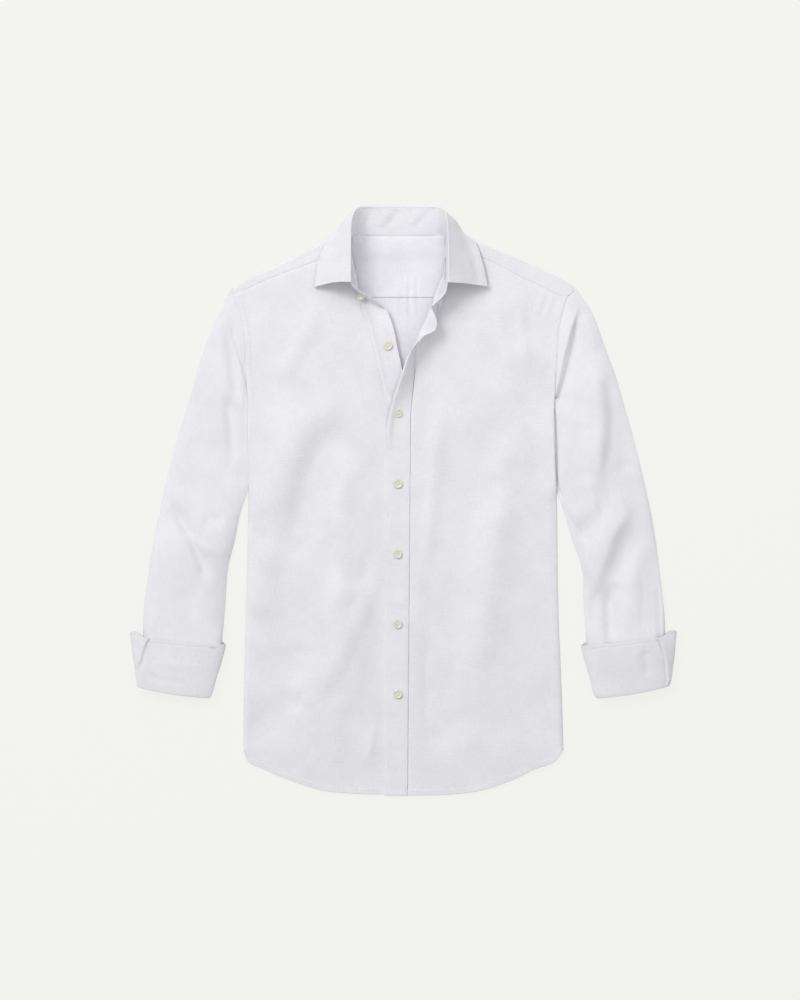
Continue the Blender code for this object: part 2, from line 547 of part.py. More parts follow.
def make_yoke(fill):
    """Across the back of the neck and over both shoulders, as one piece."""
    wing_right = np.linspace(-238.0, -73.8, 9)
    wing_left = np.linspace(58.8, 238.4, 9)
    right_end = armhole_reader(ARMHOLE_RIGHT, GAP)
    left_end = armhole_reader(ARMHOLE_LEFT, -GAP)
    middle = np.concatenate([[-66.0, -40.0], np.linspace(-16.0, 31.0, 12), [51.5]])
    back_rows = 5
    columns = []
    wrapped = []
    for x in np.concatenate([wing_right, middle, wing_left]):
        shoulder, seam = SHOULDER_LEFT, YOKE_FRONT_LEFT
        if x < NECK_CENTRE_X:
            shoulder, seam = SHOULDER_RIGHT, YOKE_FRONT_RIGHT
        over = x in wing_right or x in wing_left
        order = 1 if x < NECK_CENTRE_X else -1
        fold_x, fold_y = along(shoulder, READ_AT)[::order].T
        seam_x, seam_y = along(seam, READ_AT)[::order].T
        top_y = np.interp(x, fold_x, fold_y)
        wrap = wing_section(x, top_y, np.interp(x, seam_x, seam_y))
        flat_top = wrap[0][1] if over else NECK_SEAM_Y
        ys = YOKE_SEAM_Y + (flat_top - YOKE_SEAM_Y) * np.linspace(0.0, 1.0, back_rows)
        zs = yoke_lift(np.full(back_rows, x), ys) + pleat_height(np.full(back_rows, x), ys)
        zs[-1] = zs[-1] if not over else wrap[0][2]
        column = [(x, y, z) for y, z in zip(ys, zs)] + wrap[1:]
        column = [(np.clip(px, right_end(py), left_end(py)), py, pz) for px, py, pz in column]
        columns.append(column)
        wrapped.append(over)
    grid = np.array(columns).transpose(1, 0, 2)
    rows, count = grid.shape[:2]
    keep = np.ones((rows - 1, count - 1), bool)
    for j in range(count - 1):
        if not (wrapped[j] and wrapped[j + 1]):
            keep[back_rows - 1:, j] = False
    return cloth("yoke", grid, fill, outwards=False, keep=keep)


def stand_table():
    """The stand's rows, with the foot set on the front where the table gives no height."""
    rows = []
    for row in STAND_ROWS:
        foot = row.fz
        if foot is None:
            height = right_height if row.fx < NECK_CENTRE_X else left_neck_height
            foot = float(height(np.array(row.fx), np.array(row.fy))) + WALL + GAP
            if row.fy > 338.0:
                foot = 2 * SHOULDER_RADIUS + LEAF_LIFT + GAP
        rows.append((row.fx, row.fy, foot, row.tx, row.ty, row.tz))
    return np.array(rows, float)


def left_neck_height(x, y):
    """The front worn on the left is held up by the rolled end of the placket."""
    top = PLACKET_ROWS[0]
    away = np.hypot(x - top.sx, y - top.sy)
    base = left_height(x, y)
    return base + (top.sz - base) * ease(62.0, 0.0, away)


def make_stand(fill):
    table = stand_table()
    knots = chord_knots(table[:, 0:3])
    fractions = np.concatenate([[a + (b - a) * t for t in (0.0, 0.5)] for a, b in zip(knots, knots[1:])])
    stations = curve(table, knots, np.append(fractions, knots[-1]))
    foot, top = stations[:, 0:3], stations[:, 3:6]
    grid = np.array([foot * (1 - t) + top * t for t in (0.0, 0.34, 0.67, 1.0)])
    return cloth("collar_stand", grid, fill, outwards=True)


def leaf_stations(per_step):
    table = stand_table()[LEAF_FIRST:LEAF_LAST + 1]
    rows = np.concatenate([table, np.array(LEAF_ROWS, float)], axis=1)
    knots = chord_knots(rows[:, 3:6] + rows[:, 9:12])
    at = [a + (b - a) * k / per_step for a, b in zip(knots, knots[1:]) for k in range(per_step)]
    return curve(rows, knots, np.append(at, knots[-1]))


def leaf_section(row, count):
    """Across the leaf: up from the stand's top, over the roll, and down to the edge."""
    foot, top, middle, low, edge = row[0:3], row[3:6], row[6:9], row[9:12], row[12:15]
    rise = (top - foot) / np.linalg.norm(top - foot)
    fall = (middle - top) / np.linalg.norm(middle - top)
    start = top + rise * GAP * 3
    crest = top + rise * (ROLL + GAP) + fall * 1.2
    turn = top + rise * (ROLL - 0.4) + fall * 5.0
    points = np.array([start, crest, turn, middle, low, edge])
    knots = chord_knots(points)
    at = np.concatenate([[0.0, knots[1] * 0.6, knots[1]], [knots[2]],
                         np.linspace(knots[2], knots[-1], count - 3)[1:]])
    return curve(points, knots, at)


def make_leaf(fill):
    grid = np.array([leaf_section(row, 8) for row in leaf_stations(2)])
    grid[..., 2] = np.maximum(grid[..., 2], 0.0)
    return cloth("collar_leaf", grid, fill, outwards=False)


def tube_sides(over_count, under_count):
    """Shares across a flattened tube, over its top from the outer edge and back underneath."""
    over = (1 - np.cos(np.linspace(0.0, math.pi, over_count))) / 2
    under = np.linspace(0.95, 0.05, under_count)
    return over, under


def tube_heights(over, under, low, high, side):
    """Outer face of a flattened tube, flat beneath and rounded over the top."""
    top = side + (high - side) * np.sqrt(1 - np.abs(2 * over - 1) ** 2.6)
    bottom = side - (side - low) * (1 - np.abs(2 * under - 1) ** 6) ** 0.25
    return top, bottom


def make_sleeve(name, outer, inner, armhole, folds, fill):
    """A flattened tube from the armhole to the end inside the cuff."""
    over, under = tube_sides(11, 5)
    shares = np.concatenate([over, under])
    vs = np.linspace(0.0, 1.0, 20)
    sign = math.copysign(1.0, outer[0][0])
    shoulder = beside(armhole, sign * ARMHOLE_GAP)
    outer = [shoulder[0]] + outer[1:]
    inner = [shoulder[-1]] + inner[1:]
    plan = patch(shares, vs, along(shoulder, shares), along([outer[-1], inner[-1]], shares),
                 along(outer, vs), along(inner, vs))
    high = np.interp(vs, [0.0, 0.25, 0.9, 1.0],
                     [SLEEVE_HIGH_TOP, SLEEVE_HIGH, SLEEVE_HIGH, SLEEVE_HIGH_END])
    low = SLEEVE_LOW_END * ease(0.86, 0.97, vs)
    side = SLEEVE_SIDE + (CUFF_SIDE - SLEEVE_SIDE) * ease(0.7, 1.0, vs)
    heights = np.array([np.concatenate(tube_heights(over, under, *row)) for row in zip(low, high, side)])
    on_top = np.where(np.arange(len(shares)) < len(over), 4 * shares * (1 - shares), 0.0)
    heights = heights + fold_height(folds, plan[..., 0], plan[..., 1]) * on_top
    grid = with_height(plan, heights)
    return cloth(name, grid if sign < 0 else grid[:, ::-1], fill, outwards=False, ring=True)


def cuff_shares(slit, apart):
    """Shares over a cuff's top, with a pair of columns beside its slit, and back underneath."""
    rest = slit + apart
    over = [0.0, slit * 0.22, slit * 0.6, slit, rest] + [rest + (1 - rest) * t for t in CUFF_SPREAD]
    return np.array(over), np.linspace(0.95, 0.05, 6)


def make_cuff(name, table, fill):
    """The turned-back cuff: one wall down inside, round the fold and up outside."""
    grid = []
    for row in table:
        run = np.array([row.bx - row.ax, row.by - row.ay])
        over, under = cuff_shares(row.slit, row.apart / np.linalg.norm(run))
        shares = np.concatenate([over, under])
        plan = np.outer(1 - shares, (row.ax, row.ay)) + np.outer(shares, (row.bx, row.by))
        plan[:, 1] += row.corner * np.exp(-((shares - 0.05) / 0.075) ** 2)
        plan[:, 1] -= row.sag * 4 * shares * (1 - shares)
        top, bottom = tube_heights(over, under, row.low, row.high, CUFF_SIDE)
        grid.append(np.column_stack([plan, np.concatenate([top, bottom])]))
    grid = np.array(grid)
    keep = np.ones(grid.shape[:2], bool)[:-1]
    keep[SLIT_FIRST_ROW:, SLIT_COLUMN] = False
    if table[0].ax < 0:
        grid = grid[:, ::-1]
        keep = np.roll(keep[:, ::-1], -1, axis=1)
    return cloth(name, grid, fill, outwards=False, ring=True, keep=keep)


def make_button(name, centre, normal, fill):
    """A round button with a raised rim, its back just clear of the cloth."""
    radius, height = BUTTON_RADIUS, BUTTON_HEIGHT
    profile = [(0.0, 0.0), (radius * 0.82, 0.0), (radius, height * 0.45), (radius * 0.94, height),
               (radius * 0.72, height * 0.94), (radius * 0.6, height * 0.62), (0.0, height * 0.6)]
    bm = bmesh.new()
    ring = [bm.verts.new((r * MM, 0.0, z * MM)) for r, z in profile]
    edges = [bm.edges.new(pair) for pair in zip(ring, ring[1:])]
    bmesh.ops.spin(bm, geom=ring + edges, cent=(0, 0, 0), axis=(0, 0, 1), angle=2 * math.pi, steps=12)
    bmesh.ops.remove_doubles(bm, verts=bm.verts, dist=1e-6)
    bmesh.ops.recalc_face_normals(bm, faces=bm.faces)
    mesh = bpy.data.meshes.new(name)
    bm.to_mesh(mesh)
    bm.free()
    mesh.shade_smooth()
    mesh.set_sharp_from_angle(angle=math.radians(40))
    mesh.materials.append(fill)
    obj = bpy.data.objects.new(name, mesh)
    bpy.context.scene.collection.objects.link(obj)
    obj.rotation_mode = "QUATERNION"
    obj.rotation_quaternion = normal.to_track_quat("Z", "Y")
    obj.location = (centre - Vector(ORIGIN)) * MM
    return obj


def surface_seat(height, x, y, thickness):
    """A button's place and direction on a height field, clear of its upper face."""
    step = 1.0
    here, right, up = (float(height(np.array(x + a), np.array(y + b)))
                       for a, b in ((0.0, 0.0), (step, 0.0), (0.0, step)))
    normal = Vector((here - right, here - up, step)).normalized()
    return Vector((x, y, here)) + normal * (thickness + BUTTON_CLEAR), normal


def seat_between(origin, across, along_it, thickness):
    """A button's place and direction on a sheet through three points, on the side they turn to."""
    o, a, b = Vector(origin), Vector(across), Vector(along_it)
    normal = (a - o).cross(b - o).normalized()
    return o + normal * (thickness + BUTTON_CLEAR), normal


def make_buttons(fill):
    rows = placket_rows(20)
    order = np.argsort(rows[:, 7])
    number = 2
    for y in BUTTON_YS:
        row, above = (np.array([np.interp(at, rows[order, 7], rows[order, k]) for k in range(9)])
                      for at in (y, y + 4.0))
        t = (row[0] - BUTTON_X) / (row[0] - row[6])
        seat, normal = seat_between(band_point(row, t), band_point(row, t - 0.1), band_point(above, t),
                                    PLACKET_THICKNESS)
        make_button(f"button_{number}", seat, normal, fill)
        number += 1
    seat, normal = surface_seat(right_height, *UPPER_BUTTON, WALL)
    make_button("button_1", seat, normal, fill)
    here, before = stand_table()[[COLLAR_BUTTON_ROW, COLLAR_BUTTON_ROW - 1]]
    middle = here[0:3] * 0.55 + here[3:6] * 0.45
    seat, normal = seat_between(middle, before[0:3] * 0.55 + before[3:6] * 0.45, here[3:6], WALL)
    make_button("button_collar", seat, normal, fill)


def main():
    clear_scene()
    cotton = material("white cotton", COTTON, 0.85)
    resin = material("button resin", BUTTON_RESIN, 0.35)
    make_back(cotton)
    make_yoke(cotton)
    make_front_right(cotton)
    make_front_left(cotton)
    make_placket(cotton)
    make_stand(cotton)
    make_leaf(cotton)
    make_sleeve("sleeve_right", SLEEVE_OUTER_RIGHT, SLEEVE_INNER_RIGHT, ARMHOLE_RIGHT,
                FOLDS_SLEEVE_RIGHT, cotton)
    make_sleeve("sleeve_left", SLEEVE_OUTER_LEFT, SLEEVE_INNER_LEFT, ARMHOLE_LEFT,
                FOLDS_SLEEVE_LEFT, cotton)
    make_cuff("cuff_right", CUFF_RIGHT, cotton)
    make_cuff("cuff_left", CUFF_LEFT, cotton)
    make_buttons(resin)


main()
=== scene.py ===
import math
import bpy
import numpy as np
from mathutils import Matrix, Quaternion, Vector


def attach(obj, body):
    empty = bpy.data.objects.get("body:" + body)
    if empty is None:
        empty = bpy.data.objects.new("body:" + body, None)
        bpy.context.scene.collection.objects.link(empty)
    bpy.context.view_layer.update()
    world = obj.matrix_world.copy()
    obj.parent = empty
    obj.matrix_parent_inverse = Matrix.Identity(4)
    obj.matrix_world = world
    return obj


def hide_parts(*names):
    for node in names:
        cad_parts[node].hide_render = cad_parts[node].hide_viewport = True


# Long-sleeved cotton dress shirt laid flat, seen from straight above.
# Shapes are worked out in millimetres from tables, then turned to metres when a mesh is made.
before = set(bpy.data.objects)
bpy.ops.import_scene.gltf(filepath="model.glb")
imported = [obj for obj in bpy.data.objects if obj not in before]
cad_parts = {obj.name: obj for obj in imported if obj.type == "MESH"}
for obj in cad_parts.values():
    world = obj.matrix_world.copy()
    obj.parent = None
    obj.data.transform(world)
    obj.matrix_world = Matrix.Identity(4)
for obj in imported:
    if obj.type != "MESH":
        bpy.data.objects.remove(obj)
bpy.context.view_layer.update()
print("frame loaded:", len(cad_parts), "solids")

mm = 0.001
tableOrigin = np.array((-0.7, 1.5475, 0))  # the solids' origin, in the tables' millimetres
wall = 1.2            # the solids' wall
cloth = 0.7           # the shell's own thickness
neckX = -7            # middle of the neck
yokeSeamY = 280.8     # yoke to back
neckSeamY = 365.1     # yoke to collar stand
frontRest = 2         # how high a front lies
shoulderRadius = 3    # of the fold along each shoulder
shoulderTop = 2 * shoulderRadius - wall
leafLift = 2.1        # what the collar's leaf adds under the shoulder strip


# Small maths shared by the pieces.

def ease(low, high, value):
    t = np.clip((value - low) / (high - low), 0, 1)
    return t * t * (3 - 2 * t)


# One high at nothing, and gone at about twice the width.
def hump(away, width):
    return np.exp(-((away / width) ** 2))


def unit(vectors):
    return vectors / np.linalg.norm(vectors, axis=-1, keepdims=True)


def apart(grid, edge):
    return np.linalg.norm(grid - edge, axis=2)


def lengthsAlong(points):
    steps = np.linalg.norm(np.diff(np.asarray(points, float), axis=0), axis=1)
    return np.concatenate([[0], np.cumsum(steps)])


# The same down (0) or across (1) a whole grid of points.
def lengthsOver(grid, axis):
    steps = np.diff(grid, axis=axis, prepend=grid[:, :1] if axis else grid[:1])
    return np.cumsum(np.linalg.norm(steps, axis=2), axis=axis)


# Rows read between their knots, by straight lines, or by a smooth curve.
def readAt(at, knots, rows):
    return np.array([np.interp(at, knots, column) for column in rows.T]).T


def curve(rows, knots, at):
    rows, knots = np.asarray(rows, float), np.asarray(knots, float)
    at = np.clip(at, knots[0], knots[-1])
    slopes = np.gradient(rows, knots, axis=0)
    k = np.clip(np.searchsorted(knots, at, side="right") - 1, 0, len(knots) - 2)
    span = (knots[k + 1] - knots[k])[:, None]
    t = (at - knots[k])[:, None] / span
    start = (2 * t**3 - 3 * t**2 + 1) * rows[k] + (t**3 - 2 * t**2 + t) * span * slopes[k]
    end = (3 * t**2 - 2 * t**3) * rows[k + 1] + (t**3 - t**2) * span * slopes[k + 1]
    return start + end


def along(points, shares):
    knots = lengthsAlong(points)
    return curve(points, knots, np.asarray(shares) * knots[-1])


# Shares from mark to mark: (share, steps up to the next mark).
def spread(*marks):
    parts = [np.linspace(a[0], b[0], a[1] + 1)[:-1] for a, b in zip(marks, marks[1:])]
    return np.concatenate(parts + [[marks[-1][0]]])


# A sheet in plan between four edge lines.
def patch(us, vs, top, bottom, start, end):
    u, v = us[None, :, None], vs[:, None, None]
    corners = (1 - u) * ((1 - v) * start[0] + v * start[-1]) + u * ((1 - v) * end[0] + v * end[-1])
    return (1 - v) * top[None] + v * bottom[None] + (1 - u) * start[:, None] + u * end[:, None] - corners


def withHeight(plan, z):
    return np.concatenate([plan, z[..., None]], axis=2)


# A line moved to its left.
def beside(points, distance):
    points = np.asarray(points, float)
    run = unit(np.gradient(points, lengthsAlong(points), axis=0))
    return points + distance * np.stack([-run[:, 1], run[:, 0]], axis=1)


def insetPlan(points, inset):
    return [(x - math.copysign(inset, x), y) for x, y in points]


# How far each place lies from a line in plan, on its left (plus) or right (minus), and how far along.
def lineDistance(points, x, y):
    best, side, run = np.full(np.shape(x), 1e9), np.zeros(np.shape(x)), np.zeros(np.shape(x))
    knots = lengthsAlong(points)
    for k, ((ax, ay), (bx, by)) in enumerate(zip(points, points[1:])):
        dx, dy = bx - ax, by - ay
        t = np.clip(((x - ax) * dx + (y - ay) * dy) / (dx * dx + dy * dy), 0, 1)
        away = np.hypot(x - ax - t * dx, y - ay - t * dy)
        near = away < best
        best = np.where(near, away, best)
        side = np.where(near, np.sign(dx * (y - ay) - dy * (x - ax)), side)
        run = np.where(near, knots[k] + t * (knots[k + 1] - knots[k]), run)
    return best, side, run / knots[-1]


# Soft ridges (plus) and troughs (minus): line, half width, height and, for some, how much steeper one side is.
def creaseHeight(creases, x, y):
    total = 0
    for points, width, height, *lean in creases:
        lean = sum(lean)
        away, side, run = lineDistance(points, x, y)
        taper = ease(0, 0.22, run) * ease(1, 0.78, run)
        total = total + height * taper * hump(away, width * np.where(side > 0, 1 - lean, 1 + lean))
    return total


# Even random swell, about plus or minus one, with humps of the given size.
def ripple(x, y, size, seed):
    grid = np.random.default_rng(seed).uniform(-1, 1, (64, 64))
    gx, gy = x / size + 31.5, y / size + 31.5
    ix, iy = np.floor(gx).astype(int), np.floor(gy).astype(int)
    tx, ty = ease(0, 1, gx - ix), ease(0, 1, gy - iy)
    low, high = (grid[k % 64, ix % 64] * (1 - tx) + grid[k % 64, (ix + 1) % 64] * tx for k in (iy, iy + 1))
    return low * (1 - ty) + high * ty


# The faint unevenness of pressed cotton that has been handled, in mm.
def handling(x, y, seed):
    return (0.10 * ripple(0.8 * x + 0.6 * y, (0.8 * y - 0.6 * x) * 0.6, 40, seed)
            + 0.05 * ripple(x, y, 16, seed + 1) + 0.04 * ripple(x, y, 7, seed + 2))


def gridNormals(grid):
    normal = np.cross(np.gradient(grid, axis=0), np.gradient(grid, axis=1))
    return normal / np.maximum(np.linalg.norm(normal, axis=2), 1e-9)[..., None]


# Plus where a grid's normals look up at a place, minus where they look down.
def facing(grid, row, column):
    return float(np.sign(gridNormals(grid)[row, column, 2]))


def addPiece(name, data):
    piece = bpy.data.objects.new(name, data)
    bpy.context.scene.collection.objects.link(piece)
    return piece


def meshFrom(name, points, faces, finish, smooth=True):
    mesh = bpy.data.meshes.new(name)
    mesh.from_pydata(np.asarray(points).tolist(), [], faces)
    if smooth:
        mesh.shade_smooth()
    mesh.materials.append(finish)
    return mesh


# A thin shell on a grid of points, in place of a node. Its UV map is the cut in metres, so the weave lies straight.
def clothPiece(name, node, grid, thick=cloth, outwards=True, ring=False, keep=None, flatWeave=False, middle=None):
    index, closed = np.arange(grid.shape[0] * grid.shape[1]).reshape(grid.shape[:2]), grid
    if ring:
        index, closed = (np.concatenate([a, a[:, :1]], axis=1) for a in (index, grid))
    uv = closed[..., :2]
    if not flatWeave:
        uv = np.stack([lengthsOver(closed, 1), lengthsOver(closed, 0)], axis=2)
        uv[..., 0] -= uv[:, [closed.shape[1] // 2 if middle is None else middle], 0]
    faces, corners = (np.stack([a[:-1, :-1], a[1:, :-1], a[1:, 1:], a[:-1, 1:]], axis=2) for a in (index, uv * mm))
    if keep is not None:
        faces, corners = faces[keep], corners[keep]
    used, faces = np.unique(faces.reshape(-1, 4), return_inverse=True)
    mesh = meshFrom(name, (grid.reshape(-1, 3)[used] - tableOrigin) * mm, faces.reshape(-1, 4).tolist(), cottonFinish)
    mesh.uv_layers.new(name="cut").data.foreach_set("uv", corners.ravel().astype(np.float32))
    piece = addPiece(name, mesh)
    shell = piece.modifiers.new("cloth", "SOLIDIFY")
    shell.thickness = thick * mm
    shell.offset = 1 if outwards else -1
    shell.use_rim = True
    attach(piece, "root")
    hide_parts(node)
    return piece


def tubeFaces(rings, sides, base=0):
    at = lambda ring, k: base + ring * sides + k % sides
    faces = [(at(i, k), at(i, k + 1), at(i + 1, k + 1), at(i + 1, k)) for i in range(rings - 1) for k in range(sides)]
    return faces + [tuple(at(0, k) for k in range(sides))[::-1], tuple(at(rings - 1, k) for k in range(sides))]


# A closed thread through points, with its first point numbered base.
def tube(points, radius, sides, base=0):
    made = []
    for p, d in zip(points, unit(np.gradient(points, axis=0))):
        aside = np.cross(d, (0, 0, 1))
        if np.linalg.norm(aside) < 0.2:
            aside = np.cross(d, (1, 0, 0))
        aside = unit(aside)
        upward = np.cross(aside, d)
        turns = 2 * math.pi * np.arange(sides) / sides
        made += [p + radius * (math.cos(a) * aside + math.sin(a) * upward) for a in turns]
    return made, tubeFaces(len(points), sides, base)


sewing = {
    "stitch": 2.5, "pitch": 3.1, "thread": 0.34,    # mm; 8 to the inch, coarser than real so that each one shows
    # the four sections of each stitch: place along it, rise over the cloth, thickness
    "along": (0, 0.3, 0.7, 1), "rise": (-0.12, 0.1, 0.1, -0.12), "thick": (0.35, 1, 1, 0.35),
}
stitchBag = {"points": [], "faces": []}


# Lays a row of stitches, each a thread that dips into the cloth at both ends.
def sew(points, normals):
    half = sewing["thread"] / 2
    knots = lengthsAlong(points)
    for start in np.arange(sewing["pitch"] / 2, knots[-1] - sewing["stitch"], sewing["pitch"]):
        at = start + sewing["stitch"] * np.array(sewing["along"])
        line, up = readAt(at, knots, points), readAt(at[1], knots, normals)
        run = unit(line[3] - line[0])
        up = unit(up - run * (up @ run))
        side = np.cross(run, up)
        stitchBag["faces"] += tubeFaces(4, 3, len(stitchBag["points"]))
        for middle, rise, thick in zip(line, sewing["rise"], sewing["thick"]):
            for a, b in ((-1, -0.2), (0, 1), (1, -0.2)):
                stitchBag["points"].append(middle + up * rise + (side * a + up * b) * half * thick)


# Sews along one edge of a grid, a distance inside it, from one share of its length to another.
def sewInside(grid, edge, inside, first=0, last=1, flip=1):
    normals = gridNormals(grid) * flip
    if edge in ("left", "right"):
        grid, normals = grid.transpose(1, 0, 2), normals.transpose(1, 0, 2)
    if edge in ("bottom", "right"):
        grid, normals = grid[::-1], normals[::-1]
    points, ups = [], []
    for j in range(int(first * (grid.shape[1] - 1)), int(last * (grid.shape[1] - 1)) + 1):
        knots = lengthsAlong(grid[:, j])
        points.append(readAt(inside, knots, grid[:, j]))
        ups.append(readAt(inside, knots, normals[:, j]))
    sew(np.array(points), np.array(ups))


# sRGB hex to the linear colour that a shader reads.
def linear(code):
    parts = [int(code[k:k + 2], 16) / 255 for k in (1, 3, 5)]
    return tuple(p / 12.92 if p <= 0.04045 else ((p + 0.055) / 1.055) ** 2.4 for p in parts) + (1.0,)


def newFinish(name):
    made = bpy.data.materials.new(name)
    made.use_nodes = True
    made.node_tree.nodes.clear()
    return made, made.node_tree


# Adds a node: settings are its own properties, values its sockets, links the nodes or sockets that feed it.
def addNode(tree, kind, settings=None, values=None, links=None):
    node = tree.nodes.new("ShaderNode" + kind)
    for key, value in (settings or {}).items():
        setattr(node, key, value)
    for key, value in (values or {}).items():
        node.inputs[key].default_value = value
    for key, source in (links or {}).items():
        tree.links.new(source.outputs[0] if hasattr(source, "outputs") else source, node.inputs[key])
    return node


cottonLook = {
    "colour": "#E4E3E8",       # bleached cotton with a little blue whitener, which reads as lilac
    "yarnDipPaintedShade": "#DEDDE2",    # the same with painted shade, where yarns dip under each other
    "slubPaintedHighlight": "#E9E8ED",    # painted highlight, where thick places in the yarn stand up
    "yarnMm": 1.3,             # real yarns lie 0.3 mm apart; coarser here so that they show at this size
    "slubMm": 13,              # length of a thick place along a yarn
    "patchesPerM": 26,         # faint uneven patches, each about 38 mm
    "roughness": 0.86, "specular": 0.22, "sheen": 0.08, "bump": 0.12,
}


# Bleached cotton, plain woven with slightly slubbed yarns and pressed: matte, faintly cross-hatched.
def wovenCotton(name, look):
    made, tree = newFinish(name)
    place = addNode(tree, "TexCoord").outputs
    across, on = 1000 / look["yarnMm"], 1000 / look["slubMm"]
    yarns = []
    for scale, shift in (((across, on, 1), (0, 0, 0)), ((on, across, 1), (7.3, 2.1, 0))):
        laid = addNode(tree, "Mapping", values={"Scale": scale, "Location": shift}, links={"Vector": place["UV"]})
        yarns.append(addNode(tree, "TexNoise", values={"Scale": 1, "Detail": 3, "Roughness": 0.62},
                             links={"Vector": laid}))
    both = addNode(tree, "Math", {"operation": "ADD"}, links={0: yarns[0], 1: yarns[1]})
    weave = addNode(tree, "Math", {"operation": "MULTIPLY"}, {1: 0.5}, {0: both})
    cloud = addNode(tree, "TexNoise", values={"Scale": look["patchesPerM"], "Detail": 2},
                    links={"Vector": place["Object"]})
    # the weave's colour follows the same noise as its bump: uneven yarn tone, with painted shade where it dips and
    # painted highlight where it rises
    tone = addNode(tree, "ValToRGB", links={"Fac": weave})
    for stop, (position, code) in zip(tone.color_ramp.elements, ((0.34, look["yarnDipPaintedShade"]), (0.66, look["slubPaintedHighlight"]))):
        stop.position, stop.color = position, linear(code)
    tone.color_ramp.elements.new(0.5).color = linear(look["colour"])
    patchy = addNode(tree, "MapRange", values={"From Min": 0.3, "From Max": 0.7, "To Min": 0.965, "To Max": 1.02},
                     links={"Value": cloud})
    colour = addNode(tree, "VectorMath", {"operation": "SCALE"}, links={0: tone, "Scale": patchy})
    grain = addNode(tree, "Bump", values={"Strength": look["bump"], "Distance": 0.0004}, links={"Height": weave})
    surface = addNode(tree, "BsdfPrincipled",
                      values={"Roughness": look["roughness"], "Specular IOR Level": look["specular"], "IOR": 1.5,
                              "Sheen Weight": look["sheen"], "Sheen Roughness": 0.5},
                      links={"Base Color": colour, "Normal": grain})
    addNode(tree, "OutputMaterial", links={"Surface": surface})
    return made


threadLook = {
    "colour": "#F0EFF3",
    "twistsPerM": 1400,        # one every 0.7 mm
}


# Spun polyester sewing thread: tight twist, a little brighter than the cotton.
def spunPolyester(name, look):
    made, tree = newFinish(name)
    place = addNode(tree, "TexCoord").outputs
    twist = addNode(tree, "TexNoise", values={"Scale": look["twistsPerM"], "Detail": 1},
                    links={"Vector": place["Object"]})
    tone = addNode(tree, "MapRange", values={"To Min": 0.9, "To Max": 1.05}, links={"Value": twist})
    scaled = addNode(tree, "VectorMath", {"operation": "SCALE"}, {0: linear(look["colour"])[:3]}, {"Scale": tone})
    surface = addNode(tree, "BsdfPrincipled", links={"Base Color": scaled},
                      values={"Roughness": 0.6, "Specular IOR Level": 0.4, "IOR": 1.53, "Sheen Weight": 0.2})
    addNode(tree, "OutputMaterial", links={"Surface": surface})
    return made


cottonFinish = wovenCotton("bleached cotton, plain woven and pressed", cottonLook)
threadFinish = spunPolyester("spun polyester thread", threadLook)
print("finishes made")


